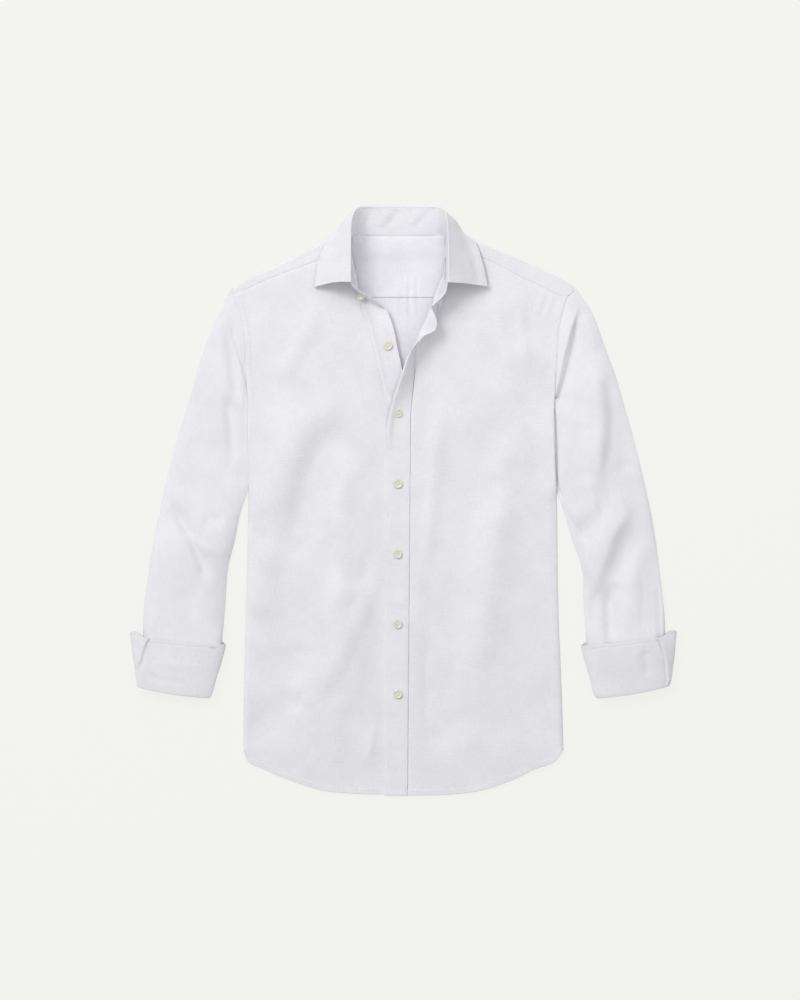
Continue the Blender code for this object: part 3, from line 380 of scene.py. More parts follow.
# Fronts.
rightFront = {
    "armhole": [(-238, 292.4), (-234.8, 284.4), (-224.7, 255), (-219.6, 224.7), (-218.4, 184.6), (-215.4, 143.8)],
    "side": [(-215.4, 143.8), (-214.2, 8), (-216.4, -116), (-220.5, -282), (-220.5, -346)],
    "hem": [(-220.5, -346), (-216, -357.5), (-190.2, -371.5), (-157, -385.3), (-114.3, -399.1),
            (-70, -403.8), (3.5, -404.6)],
    "yokeSeam": [(-234, 283.8), (-216, 291.5), (-188.2, 304.7), (-143.2, 321.8), (-117.2, 332.3), (-73.6, 347)],
    "neck": [(-23.2, 263.4), (-34, 267.4), (-45, 274.6), (-58.6, 284.3), (-70.2, 296), (-72.9, 318.5), (-73.6, 347)],
    "edge": [(-23.2, 263.4), (-17.7, 249.5), (-13.5, 235.7), (-8, 208.1), (-1.5, 177.2), (2.6, 139.1), (3.5, 97.7),
             (3.5, -404.6)],
    "neckShare": 0.36,                 # part of the upper edge that is the neck
    "seed": 11,
    "air": 3.2, "airFrom": -218,       # how high the front billows away from its side
    "openLift": 1.4, "edgeLift": 2.5,  # what lifts it where the neck opens, and along its edge there
    # line, half width, height and, for some, how much steeper one side is
    "creases": [
        ([(-31, -286), (-40, -323), (-49, -360)], 5, 1.8, 0.4),
        ([(-66, 95), (-102, 76), (-127, 31), (-140, -26), (-149, -95)], 26, -5.5),
        ([(-80, -82), (-85, -151), (-105, -220), (-135, -275), (-171, -316)], 26, 5.8),
        ([(-71, 134), (-113, 120), (-146, 84), (-165, 29), (-182, -33)], 26, 4.7),
        ([(-143, -261), (-171, -296), (-204, -323), (-221, -333)], 19, -3.8),
        ([(-25, -102), (-49, -140), (-71, -181), (-94, -231), (-118, -275)], 14, 2.6),
        ([(-116, 277), (-135, 229), (-160, 186), (-176, 160)], 14, 3.7),
        ([(-176, -54), (-196, -102), (-204, -164)], 26, 2.5),
        ([(-71, 67), (-83, 15), (-85, -54), (-85, -123), (-91, -178)], 14, 2.4),
        ([(-25, -151), (-52, -199), (-77, -247), (-107, -296), (-143, -341)], 26, 2),
        ([(-143, 139), (-171, 84), (-187, 15), (-196, -54)], 26, 3.1),
        ([(-27, -54), (-44, -82), (-63, -123)], 14, -2.9), ([(-81, -261), (-91, -316), (-96, -371)], 14, 1.8),
        ([(-58, 43), (-71, -26), (-74, -82)], 19, -2), ([(-143, -192), (-143, -247), (-157, -296)], 26, -2.2),
        ([(-27, -314), (-38, -344), (-44, -371)], 19, 2.4),
        ([(-88, 283), (-96, 236), (-121, 186), (-143, 139)], 26, 1.8),
        ([(-168, -137), (-160, -206), (-171, -268), (-196, -309), (-226, -337)], 19, -1.1),
        ([(-113, 112), (-138, 63), (-149, 1), (-171, -61), (-193, -123), (-201, -192)], 26, 2.6),
        ([(-71, -61), (-74, -109), (-80, -164)], 14, -1.3),
        ([(-95, 132), (-118, 84), (-135, 29), (-146, -26), (-161, -89), (-168, -158)], 26, -2.4),
        ([(-25, -192), (-41, -231), (-58, -275), (-74, -323)], 26, -1.3),
    ],
    # the sharp crease where the button stand folds under
    "buttonStand": {"fold": [(-59.1, 277.1), (-46.6, 242.6), (-35.6, 198.4), (-26, 152.9), (-19.8, 132.2)],
                    "depth": 3, "width": 4, "slope": 0.38},
}
leftFront = {
    "armhole": [(238.4, 292.6), (225.2, 281.2), (219, 261.1), (212.8, 232.9), (211, 204.5), (208.7, 163.9),
                (208, 133.6)],
    "side": [(208, 133.6), (211.4, -20), (212.8, -137), (218.3, -282), (219.7, -344)],
    "hem": [(219.7, -344), (211, -357), (178.3, -371.5), (149.3, -385.3), (105.2, -400), (65, -405),
            (4.7, -406.5)],
    "yokeSeam": [(225, 280.4), (217, 282.4), (186.6, 296.4), (160.4, 308.8), (110.7, 333.7), (58.2, 346.6)],
    "neck": [(46.9, 278.6), (52, 289.6), (55, 297.8), (56.9, 318.5), (58.2, 346.6)],
    "neckShare": 0.30,
    "seed": 23,
    "air": 1.6, "airFrom": 214,
    "creases": [
        ([(160, 43), (141, 1), (127, -54), (116, -123), (108, -192), (102, -261)], 26, 7.1),
        ([(55, -192), (44, -275), (31, -358)], 26, -2.8),
        ([(50, 146), (44, 84), (42, 15), (33, -54), (22, -109)], 14, 3.8), ([(174, 98), (149, 54), (124, 20)], 26, 3),
        ([(188, 236), (160, 187), (116, 139), (78, 84)], 26, 2.7),
        ([(80, -82), (67, -164), (58, -261), (50, -344)], 26, -3.9),
        ([(67, 84), (61, 15), (53, -40), (42, -95)], 26, -1.5),
        ([(36, -82), (28, -137), (22, -206), (20, -275)], 26, -1.5),
        ([(177, 132), (153, 84), (124, 45), (97, 15)], 14, 1.4), ([(160, -192), (155, -261), (141, -330)], 19, -0.9),
        ([(141, 29), (122, -13), (108, -68), (97, -137), (89, -220), (80, -302)], 26, 2.5),
        ([(91, -109), (94, -192), (86, -275), (75, -344)], 10, -1), ([(129, 288), (133, 236), (149, 178)], 26, 1.7),
        ([(196, -192), (188, -247), (171, -283)], 14, 1), ([(36, -137), (28, -220), (17, -302)], 26, -1.2),
        ([(188, 29), (185, -82), (180, -192), (169, -289)], 19, 1),
        ([(166, 1), (149, -54), (141, -123), (136, -206), (133, -289)], 26, 1),
        ([(129, 288), (133, 236), (149, 178)], 6, 1.2), ([(160, 277), (163, 236), (174, 187)], 6, 1.2),
        ([(91, 250), (105, 215), (133, 160)], 8, 1.2),
        ([(193, 292), (189, 276), (181, 254)], 3.2, 1.2), ([(206, 287), (202, 270), (193, 246)], 3, 1),
    ],
}
felledSeam = {"width": 7.5, "rise": 0.35}
hemTurn = {"width": 7, "rise": 0.35}
frontSteps = {"down": 250, "across": 84}     # how fine the two fronts are


def frontGrid(values, edge):
    share, down, across = values["neckShare"], frontSteps["down"], frontSteps["across"]
    us = spread((0, 10), (0.03, int(across * share * 1.5)), (share, int(across * (0.93 - share))), (0.93, 7),
                (0.962, 8), (0.975, 14), (1, 1))
    vs = spread((0, 8), (0.01, int(down * 0.3)), (0.26, int(down * 0.58)), (0.975, 6), (0.988, 6), (0.993, 6), (1, 1))
    top = np.concatenate([along(values["neck"], us[us <= share] / share),
                          along(values["yokeSeam"][::-1], (us[us > share] - share) / (1 - share))])
    bottom = along(values["hem"][::-1], us)
    outer = values["armhole"][:-1] + insetPlan(values["side"], 0.4)
    outer = [top[-1]] + [p for p in outer if p[1] < top[-1][1] - 4][:-1] + [bottom[-1]]
    return patch(us, vs, top, bottom, along(edge, vs), along(outer, vs))


def nearNeck(x):
    return ease(146, 112, abs(x - neckX))


def frontRise(x, y):
    return frontRest + (shoulderTop - frontRest) * ease(140, 285, y) + leafLift * nearNeck(x) * ease(290, 336, y)


# The side's edge swells a little, and rounds down to the floor below the sleeve.
def sideEdge(plan, z, swellTop):
    reach, y = apart(plan, plan[:, -1:]), plan[:, -1:, 1]
    z = z + 2.4 * ease(swellTop, swellTop - 55, y) * hump(reach, 34)
    share = 1 - np.clip(reach / 12, 0, 1)
    rounded = 0.3 + (z - 0.3) * np.sqrt(1 - share**2)
    return z + (rounded - z) * ease(34, 4, y)


# Thicker where the armhole seam is felled and where the hem is turned up, with a pucker along the sewing.
def sewnEdges(plan, z, values):
    x, y = plan[..., 0], plan[..., 1]
    fromSide, fromHem, fromYoke = apart(plan, plan[:, -1:]), apart(plan, plan[-1:]), apart(plan, plan[:1])
    width, rise = felledSeam["width"], felledSeam["rise"]
    pucker = 0.16 * ripple(y, x * 0.3, 5.2, 7) * hump(fromSide - width, 6)
    z = z + (rise * ease(width + 0.9, width - 0.6, fromSide) - 0.45 * hump(fromSide, 1.1) + pucker) * ease(120, 145, y)
    width, rise = hemTurn["width"], hemTurn["rise"]
    pucker = 0.22 * ripple(x + 0.5 * y, y * 0.2, 6, 9) * hump(fromHem - width, 5)
    z = z + rise * ease(width + 0.9, width - 0.6, fromHem) + pucker
    pucker = 0.3 * ripple(x, y * 0.12, 5.5, 5) * hump(fromYoke - 3, 8)
    onSeam = ease(0, 0.06, np.linspace(0, 1, plan.shape[1]) - values["neckShare"])
    return z + (pucker - 0.5 * hump(fromYoke, 1.3)) * onSeam


# Air left under a front, into which its folds sink.
def billow(x, y, values):
    return values["air"] * ease(0, 80, abs(x - values["airFrom"])) * ease(-402, -330, y) * ease(240, 110, y)


# Rests on the floor without a sharp edge where a fold reaches it.
def rested(z, least=0.3):
    return least + 0.5 * (z - least + np.sqrt((z - least) ** 2 + 0.6))


# Carries the front's upper edge on below the yoke, so that no gap shows at the seam.
def tuckUnder(grid, values):
    reach = 4 * ease(0, 0.05, np.linspace(0, 1, grid.shape[1]) - values["neckShare"]) + 0.3
    under = grid[0] + np.stack([0 * reach, reach, -0.12 * reach - 0.3], axis=1)
    return np.concatenate([under[None], grid])


def rightHeight(x, y, fine=False):
    free = ease(-26, -58, x)        # clear of the placket
    opened = ease(110, 200, y)      # where the neck opens
    folds = creaseHeight(rightFront["creases"], x, y) * ease(292, 262, y + 0.2 * (x + 70))
    base = frontRise(x, y) + rightFront["openLift"] * opened * (1 - free)
    height = 1.6 + (base - 1.6) * np.maximum(free, ease(72, 112, y)) + folds * free
    height = height + billow(x, y, rightFront) * ease(-26, -70, x)
    height = height + rightFront["edgeLift"] * ease(118, 172, y) * ease(264, 228, y) * (1 - free)
    if fine:
        stand = rightFront["buttonStand"]
        away, side, run = lineDistance(stand["fold"], x, y)
        slope = np.where(side > 0, stand["slope"] * np.minimum(away, 11), 0)
        valley = slope - stand["depth"] * hump(away, stand["width"])
        height = height + valley * ease(0, 0.1, run) * ease(1, 0.85, run)
        height = height + handling(x, y, rightFront["seed"]) * ease(-16, -40, x - 40 * opened)
    return height


def leftHeight(x, y, fine=False):
    folds = creaseHeight(leftFront["creases"], x, y) * ease(292, 262, y + 0.2 * (70 - x))
    height = frontRise(x, y) + folds * ease(12, 40, x) + billow(x, y, leftFront) * ease(12, 60, x)
    if fine:
        height = height + handling(x, y, leftFront["seed"]) * ease(8, 30, x)
    return height


# Placket band, whose upper end rolls outwards.
placketBand = {
    # seam, middle and free edge, each x y z, from the collar down
    "rows": [
        (46.4, 278, 11, 40.7, 272.3, 19.5, 36.6, 265.4, 27),
        (45.6, 264.7, 11.5, 35.4, 263, 22.5, 42, 256.4, 28),
        (42.6, 251, 12, 31, 251, 23.5, 45.6, 246.7, 27.5),
        (31.4, 236.4, 12, 23.8, 236, 22.5, 43.4, 234.8, 26.5),
        (20.8, 221, 11, 18.2, 223.3, 22.5, 27.9, 226.7, 30),
        (17, 210.9, 9, 14.2, 212.5, 21.5, 15.5, 215, 32),
        (15.2, 198.4, 6.5, 10.2, 199.5, 18.5, 7.2, 201.2, 30),
        (13.2, 175, 4.6, 6.6, 176, 15, -1.9, 177.2, 25),
        (11.5, 150.1, 3.9, 1.2, 151, 10, -11, 151.5, 16.5),
        (9.3, 120.5, 3.6, -5.2, 120.5, 4.6, -20.4, 120.5, 7),
        (8.7, 92, 3.8, -7.8, 92, 3.6, -24.4, 92, 3.4),
        (8.5, 60, 3.8, -8.4, 60, 3.4, -25.4, 60, 2.9),
        (8.3, 40, 3.8, -8.6, 40, 3.4, -25.5, 40, 2.9),
        (4.4, -406.7, 3.8, -11.3, -406.7, 3.4, -27, -406.7, 2.9),
    ],
    "thick": 1.5, "width": 33.5,
    "puff": 0.3, "groove": 0.12,     # between its rows of sewing, and along them
    "edgeStitch": 3,
    "curl": 2.4,                     # how far the band stands up beside its free edge, where the roll runs out
    "lip": 2.8,                      # how far the rolled edge itself turns down
    "flatFrom": 200,                 # row from which the band lies flat, for the buttons
}


def placketRows(upperCount, lowerCount):
    table = np.array(placketBand["rows"], float)
    knots = lengthsAlong((table[:, 0:3] + table[:, 6:9]) / 2)
    upper = np.linspace(0, knots[-2], upperCount)
    lower = np.linspace(knots[-2], knots[-1] - 4, lowerCount)[1:]
    return curve(table, knots, np.concatenate([upper, lower, knots[-1] - np.array([3.2, 2.4, 1.7, 1.1, 0.6, 0.25, 0])]))


# A place across the band: 0 at its seam, 1 at its free edge.
def bandPoint(row, t):
    seam, middle, edge = row[0:3], row[3:6], row[6:9]
    return (1 - t) * (1 - 2 * t) * seam + 4 * t * (1 - t) * middle + t * (2 * t - 1) * edge


# The left front's edge runs beside the band's seam, further off where the band stands up.
def frontEdgeLine():
    rows = np.array(placketBand["rows"][:-1], float)
    steep = unit(rows[:, 3:6] - rows[:, 0:3])[:, 2:]
    return beside(rows[:, 0:2], 0.3 + 1.5 * placketBand["thick"] * steep)


def makeFronts():
    plan = frontGrid(rightFront, rightFront["edge"])
    z = sideEdge(plan, rightHeight(plan[..., 0], plan[..., 1], True), 150)
    right = withHeight(plan, rested(sewnEdges(plan, z, rightFront)) + wall - cloth)
    pieceRight = clothPiece("shirtFrontRight", "front_right", tuckUnder(right, rightFront)[:, ::-1], flatWeave=True)

    edge = [tuple(p) for p in frontEdgeLine()] + leftFront["hem"][-1:]
    values = dict(leftFront, neck=[edge[0]] + leftFront["neck"][1:])
    plan = frontGrid(values, edge)
    y, fromPlacket, fromSide = plan[..., 1], apart(plan, plan[:, :1]), apart(plan, plan[:, -1:])
    z = leftHeight(plan[..., 0], y, True)
    seam = placketRows(20, 12)[:, 0:3]
    seam = seam[np.argsort(seam[:, 1])]
    z = z + (np.interp(y[:, :1], seam[:, 1], seam[:, 2]) - z[:, :1]) * ease(62, 0, fromPlacket)
    z = sewnEdges(plan, sideEdge(plan, z, 140), values) - 2 * hump(fromPlacket, 1.3) * ease(150, 90, y)
    # under the arm the side bulges, then drops beside the sleeve
    z = z + 3.8 * ease(148, 116, y) * ease(-6, 18, y) * hump(fromSide, 18) * ease(-1, 1.6, fromSide)
    left = withHeight(plan, rested(z) + wall - cloth)
    pieceLeft = clothPiece("shirtFrontLeft", "front_left", tuckUnder(left, values), flatWeave=True)
    for grid, up in ((right, -1), (left, 1)):
        top = grid + (0, 0, cloth)
        sewInside(top, "bottom", hemTurn["width"] - 0.6, flip=up)
        sewInside(top, "right", felledSeam["width"] - 0.4, 0.005, 0.34, flip=up)
    sewInside(right + (0, 0, cloth), "left", 1.6, 0, 0.42, flip=-1)
    return pieceRight, pieceLeft


frontRightPiece, frontLeftPiece = makeFronts()
print("fronts made")


def makePlacket():
    rows = placketRows(170, 200)
    across = spread((0, 12), (0.13, 14), (0.87, 12), (1, 1))
    grid = np.array([[bandPoint(row, t) for t in across] for row in rows])
    x, y, z = grid.transpose(2, 0, 1)    # views, so that what is added to z is in the grid
    flat = ease(112, 70, y)
    fromEdge = np.minimum(across, 1 - across) * placketBand["width"]
    stitched = hump(fromEdge - placketBand["edgeStitch"], 0.75)
    rounded = np.where(across < 0.5, 0.35 * hump(fromEdge, 0.5), 0.95 * hump(fromEdge, 1.6))
    z += (placketBand["puff"] * (1 - hump(fromEdge, 2.2)) - placketBand["groove"] * stitched - rounded) * flat
    z += placketBand["curl"] * ease(0.68, 0.89, across) * ease(1, 0.91, across) * ease(52, 104, y) * ease(140, 118, y)
    lip = ease(1 - 3.4 / placketBand["width"], 1, across) * ease(134, 150, y) * ease(216, 200, y)
    grid -= lip[..., None] * np.array([0.9, 0.3, placketBand["lip"]])
    z += (0.32 * ripple(x * 0.3, y + 0.12 * x, 9, 41) + 0.1 * ripple(x, y, 6, 42)) * flat * (1 - 0.6 * stitched)
    z -= 0.7 * hump(apart(grid, grid[-1:]), 1.1)
    piece = clothPiece("shirtPlacket", "placket", grid[:, ::-1], placketBand["thick"])
    flip = facing(grid, len(rows) // 2, 3)
    top = grid + flip * gridNormals(grid) * placketBand["thick"]
    for edge in ("left", "right"):
        sewInside(top, edge, placketBand["edgeStitch"], flip=flip)
    return piece, top[placketBand["flatFrom"]:]


placketPiece, placketTop = makePlacket()
print("placket made")


# Back, with pleats under the middle of the yoke.
backPanel = {
    "inset": 2.6,        # how far it stays inside the fronts' edges
    # place across, half width, height
    "pleats": [(-9, 3.2, 1.2), (2.5, 2.8, 1.4), (13.5, 3.2, 1.1), (25, 5, 0.6), (-22, 7, 0.5)],
    "pleatLength": 30,
    "drawnUp": 3.6,      # beside the opening
}


def pleatHeight(x, y):
    total = sum(height * hump(x - place, width) for place, width, height in backPanel["pleats"])
    return total * hump(y - yokeSeamY, backPanel["pleatLength"])


def armholeX(front, y):
    line = along(front["armhole"], np.linspace(0, 1, 60))[::-1]
    return np.interp(y, line[:, 1], line[:, 0])


def backEdge(front, topY):
    armhole = [(float(armholeX(front, topY)), topY)] + [p for p in front["armhole"][:-1] if p[1] < topY - 4]
    return insetPlan(armhole, 0.6) + insetPlan(front["side"], backPanel["inset"])


def makeBack():
    us = spread((0, 10), (0.4, 8), (0.45, 60), (0.58, 8), (0.63, 10), (1, 1))
    vs = spread((0, 40), (0.2, 60), (1, 1))
    topY = yokeSeamY + 3.5
    right, left = backEdge(rightFront, topY), backEdge(leftFront, topY)
    hem = [(x * 0.985, y + backPanel["inset"]) for x, y in rightFront["hem"][1:-1] + leftFront["hem"][-2:0:-1]]
    hem = [right[-1]] + hem + [left[-1]]
    top = np.stack([right[0][0] + (left[0][0] - right[0][0]) * us, np.full(len(us), topY)], axis=1)
    plan = patch(us, vs, top, along(hem, us), along(right, vs), along(left, vs))
    x, y = plan[..., 0], plan[..., 1]
    # beside the opening the back is drawn up a little by the front's edge
    away = lineDistance(rightFront["edge"][:6], x, y)[0]
    drawn = backPanel["drawnUp"] * hump(away, 15) * ease(132, 168, y) * ease(266, 236, y)
    return clothPiece("shirtBack", "back", withHeight(plan, pleatHeight(x, y) + drawn), flatWeave=True)


backPiece = makeBack()
print("back made")


# Yoke, across the back of the neck and over both shoulders.
yokePiece = {
    "shoulderRight": [(-237.8, 291.5), (-212.2, 307.5), (-176.4, 324), (-143.2, 340.6), (-107.4, 356), (-72.9, 361)],
    "shoulderLeft": [(238, 292.5), (215.6, 307.5), (179.7, 324), (141, 340.6), (102.4, 356), (59.6, 361)],
    "seamStitch": 1.8,
}


def yokeLift(x, y):
    return leafLift * nearNeck(x) * ease(326, 346, y)


# Round the shoulder's fold and down to the front's seam.
def wingSection(x, topY, seamY):
    lift, radius = float(yokeLift(x, topY)), shoulderRadius
    turns = np.radians(np.linspace(-90, 90, 13))
    fold = np.stack([np.full(13, x), topY - radius + radius * np.cos(turns), radius + radius * np.sin(turns) + lift]).T
    fold[0] = (x, topY - radius, lift)
    end = np.array((x, seamY + 0.2, 2 * radius + lift))
    strip = fold[-1] + (end - fold[-1]) * spread((0, 7), (0.8, 4), (0.93, 4), (1, 1))[1:, None]
    inside = abs(strip[:, 1] - seamY)
    strip[:, 2] -= 0.45 * hump(inside, 1.1) + 0.12 * hump(inside - yokePiece["seamStitch"], 0.7)
    return np.concatenate([fold, strip])


def makeYoke():
    rightWing, leftWing = np.linspace(-238, -73.8, 56), np.linspace(58.8, 238.4, 58)
    up = spread((0, 12), (0.12, 20), (0.93, 7), (1, 1))
    columns, over = [], []
    for x in np.concatenate([rightWing, np.linspace(-71, 56, 96), leftWing]):
        shoulder, front, order = ("shoulderLeft", leftFront, -1) if x > neckX else ("shoulderRight", rightFront, 1)
        foldY, seamY = (np.interp(x, *along(line, np.linspace(0, 1, 60))[::order].T)
                        for line in (yokePiece[shoulder], front["yokeSeam"]))
        onWing = x <= rightWing[-1] or x >= leftWing[0]
        wrap = wingSection(x, foldY, seamY)
        flatTop = wrap[0, 1] if onWing else neckSeamY + 4 * ease(60, 54, abs(x - neckX)) + 0.5
        ys = yokeSeamY + (flatTop - yokeSeamY) * up
        here = np.full(len(ys), x)
        zs = yokeLift(here, ys) + pleatHeight(here, ys)
        zs = zs + 0.3 * ease(yokeSeamY + 9, yokeSeamY + 2, ys) - 0.1 * hump(ys - yokeSeamY, 1.2)
        if onWing:
            zs[-1] = wrap[0, 2]
        else:
            zs = zs - 0.45 * hump(ys - neckSeamY, 1.4)
            zs = zs + 3.8 * float(ease(43, 63, abs(x - neckX))) * ease(neckSeamY - 18, neckSeamY, ys)
            wrinkle = 0.55 * ripple(here - 0.5 * ys, ys * 0.5, 17, 61)
            zs = np.maximum(zs + wrinkle * ease(290, 300, ys) * ease(neckSeamY, neckSeamY - 9, ys), 0)
        columns.append(np.concatenate([np.stack([here, ys, zs], axis=1), wrap[1:]]))
        over.append(onWing)
    grid, over, backRows = np.array(columns).transpose(1, 0, 2), np.array(over), len(up)
    # its ends lap the sleeves' seams by a little
    x, y = grid[..., 0], grid[..., 1]
    grid[..., 0] = np.clip(x, armholeX(rightFront, y) - 0.4, armholeX(leftFront, y) + 0.4)
    grid[:backRows, :, 2] += cloth
    keep = np.ones((grid.shape[0] - 1, grid.shape[1] - 1), bool)
    keep[backRows - 1:, ~(over[:-1] & over[1:])] = False
    strip = grid[backRows + 12:]
    for part in (strip[:, :len(rightWing)], strip[:, -len(leftWing):]):
        sewInside(part, "bottom", yokePiece["seamStitch"], flip=facing(part, 2, 20))
    # the back's seam is sewn where it shows inside the neck
    low = grid[:backRows, len(rightWing) + 4:-len(leftWing) - 6] + (0, 0, 0.02)
    sewInside(low, "top", 1.6, flip=facing(low, 3, 20))
    return clothPiece("shirtYoke", "yoke", grid, outwards=False, keep=keep, flatWeave=True)


yoke = makeYoke()
print("yoke made")


# Collar: a stand round the neck and a leaf folded over it.
collar = {
    # foot x y z (None stands on the front), top x y z, from the wearer's right end round the neck
    "stand": [
        (-24, 263.8, None, -24.6, 264.6, 10.5), (-34.2, 267.6, None, -32.8, 270.9, 18),
        (-45.3, 275, None, -43.9, 279.5, 25.5), (-59.1, 284.9, None, -58.6, 287.8, 34.5),
        (-70.8, 296.5, None, -71.5, 299.2, 43), (-73.6, 318.5, None, -71.9, 321.2, 45),
        (-74, 340, None, -71.9, 345, 45), (-73.4, 352, None, -71.8, 362, 44),
        (-72.8, 357.6, None, -71.6, 370, 43), (-71.5, 362.9, 7.6, -71.2, 378, 41),
        (-63.6, 366.2, 5.4, -67, 394.4, 31), (-53.9, 366.4, 4.4, -57.6, 402, 17),
        (-32.8, 366.4, 3.8, -35, 403.2, 10.5), (-5.2, 366.4, 3.8, -5.2, 403.4, 9),
        (22.4, 366.4, 3.8, 24.6, 403.2, 10.5), (42.1, 366.4, 4.4, 47, 402, 17),
        (50.6, 366.2, 5.4, 55.4, 395.8, 31), (57, 362.9, 7.6, 59, 380, 41),
        (57.7, 357.6, None, 59.3, 371.5, 43), (58, 352, None, 59.6, 363.5, 44),
        (58.4, 340, None, 59.9, 346, 45), (57.6, 318.5, None, 59.9, 321.2, 45),
        (55.6, 298.2, None, 59.2, 298.9, 43), (52.2, 290.4, None, 57.3, 287.6, 40.5),
        (47.2, 280.6, 13.6, 51.8, 280, 38), (41.4, 274.2, 21, 44.8, 273, 36),
        (37.4, 267.6, 28.4, 38.4, 267.2, 32),
    ],
    # at stand stations 4 to 22: middle of the fall, low on it, and its edge
    "leaf": [
        (-88, 300.3, 38.5, -107.4, 298.1, 22, -123.9, 294.2, 10),
        (-86.7, 324, 37, -103.2, 326.8, 21, -117.7, 330.9, 9.5),
        (-85.3, 345, 35, -98.4, 348.2, 19, -110.8, 349.5, 9.5),
        (-83.9, 367.2, 31, -96.3, 366, 15.5, -106.4, 360.6, 6.5),
        (-83.6, 375, 27.5, -94, 370, 10.5, -99, 361.8, 1.6),
        (-83, 382, 23, -91, 373.5, 5, -91.6, 357, 0),
        (-75.6, 393.8, 17, -80.8, 382.8, 2.5, -77, 353, 0),
        (-63.8, 400.4, 6, -65.2, 390.4, 1, -57.7, 354, 0),
        (-36, 403.6, 3.2, -35.8, 395, 0.2, -32.8, 355, 0),
        (-5.2, 403.8, 2.8, -5.2, 394.8, 0.1, -5.2, 355, 0),
        (25, 403.6, 3.2, 25.2, 395, 0.2, 22.4, 355, 0),
        (53.2, 400.4, 6, 55.2, 390.4, 1, 45.8, 354, 0),
        (62.2, 394.4, 17, 68.8, 383.4, 2.5, 65.1, 353, 0),
        (72.4, 382.7, 23, 80.4, 373.5, 5, 80.4, 357, 0),
        (73.2, 375.5, 27.5, 83.5, 370, 10.5, 87.8, 361.8, 1.6),
        (73.8, 368, 31, 85.6, 366, 15.5, 95, 360.6, 6.5),
        (74.8, 346, 35, 88.6, 348.6, 20, 101.6, 349.5, 11.5),
        (76.2, 323.3, 37, 93.4, 325.4, 22.5, 108.6, 326.8, 12.8),
        (76.2, 298.9, 38.5, 98.3, 297.1, 24, 115.5, 295.2, 14),
    ],
    # soft slanting wrinkles inside the back of the stand
    "standCreases": [
        ([(-6, 403), (-13, 391), (-20, 377)], 4.5, -1.5), ([(-21, 401), (-28, 389), (-34, 376)], 5, 1.3),
        ([(34, 403), (28, 391), (20, 376)], 5, -1.7), ([(21, 401), (15, 390), (9, 378)], 5, 1.2),
        ([(50, 388), (45, 379), (40, 370)], 3.5, -1.1), ([(-43, 402), (-48, 392), (-54, 380)], 4.5, -1.1),
        ([(6, 400), (0, 388), (-5, 374)], 4, 0.7),
    ],
    # slack folds down the left leaf
    "leafCreases": [
        ([(70, 388), (92, 352), (104, 318)], 7, -1.3), ([(84, 372), (104, 340), (116, 306)], 6, 0.9),
        ([(84, 344), (92, 318), (94, 298)], 5, 0.8), ([(98, 330), (102, 312), (103, 296)], 4, -0.6),
    ],
    "firstStation": 4, "lastStation": 22,
    "standTall": 40, "standThick": 1.4, "leafThick": 1,
    "roll": 3.6,         # how high the fold rises over the stand
    "edgeStitch": 3.8,
    # how far the last rows of points lie from the edge
    "nearEdge": [9, 7.5, 6.7, 6.2, 5.8, 5.4, 5, 4.5, 3.8, 2.8, 1.8, 1, 0.5, 0.2, 0],
    "buttonRow": 3,
}


# The left front's height at the neck, where the placket's seam lifts it.
def leftNeckHeight(x, y):
    seam = placketBand["rows"][0]
    base = leftHeight(x, y)
    return base + (seam[2] - base) * ease(62, 0, np.hypot(x - seam[0], y - seam[1]))


# The stand's rows, each with its foot's height: as stated, on a front, or on the shoulder strip.
def standTable():
    rows = []
    for fx, fy, fz, *top in collar["stand"]:
        if fz is None and fy > 338:
            fz = 2 * shoulderRadius + leafLift + 0.3
        elif fz is None:
            fz = float((rightHeight if fx < neckX else leftNeckHeight)(fx, fy)) + wall + 0.3
        rows.append((fx, fy, fz, *top))
    return np.array(rows, float)


def makeStand():
    table = standTable()
    knots = lengthsAlong(table[:, 0:3])
    at = spread(*((knot, 8) for knot in knots))
    stations = curve(table, knots, at)
    foot, top = stations[:, 0:3], stations[:, 3:6]
    up = spread((0, 8), (0.12, 22), (1, 1))
    grid = np.array([foot * (1 - t) + top * t for t in up])
    # wrinkles and a seam only inside the back of the neck
    share, tall = at / knots[-1], up * collar["standTall"]
    inBack = ease(0.34, 0.42, share) * ease(0.66, 0.58, share)
    x, y = grid[..., 0], grid[..., 1]
    wrinkle = creaseHeight(collar["standCreases"], x, y) + 0.25 * ripple(x - 0.5 * y, y * 0.3, 8, 71)
    seam = 0.1 * hump(tall, 0.5) + 0.22 * hump(tall - 3, 0.8)
    grid[..., 2] += (wrinkle * (np.sin(math.pi * up) ** 0.5)[:, None] - seam[:, None]) * inBack
    piece = clothPiece("shirtCollarStand", "collar_stand", grid, collar["standThick"])
    sewInside(grid, "top", 1.8, 0.02, 0.98, flip=-1)
    return piece


# One section of the leaf: up over the stand's top, round the roll and down to the leaf's edge.
def leafSection(row):
    foot, top, middle, low, edge = row.reshape(5, 3)
    rise, fall, roll = unit(top - foot), unit(middle - top), collar["roll"]
    points = np.array([top + rise * 0.15, top + rise * (roll + 0.3) + fall * 1.2, top + rise * (roll - 0.4) + fall * 5,
                       middle, low, edge])
    knots = lengthsAlong(points)
    nearEdge = knots[-1] - np.array(collar["nearEdge"])
    return curve(points, knots, np.concatenate([spread((0, 11), (knots[2], 21), (nearEdge[0], 1)), nearEdge[1:]]))


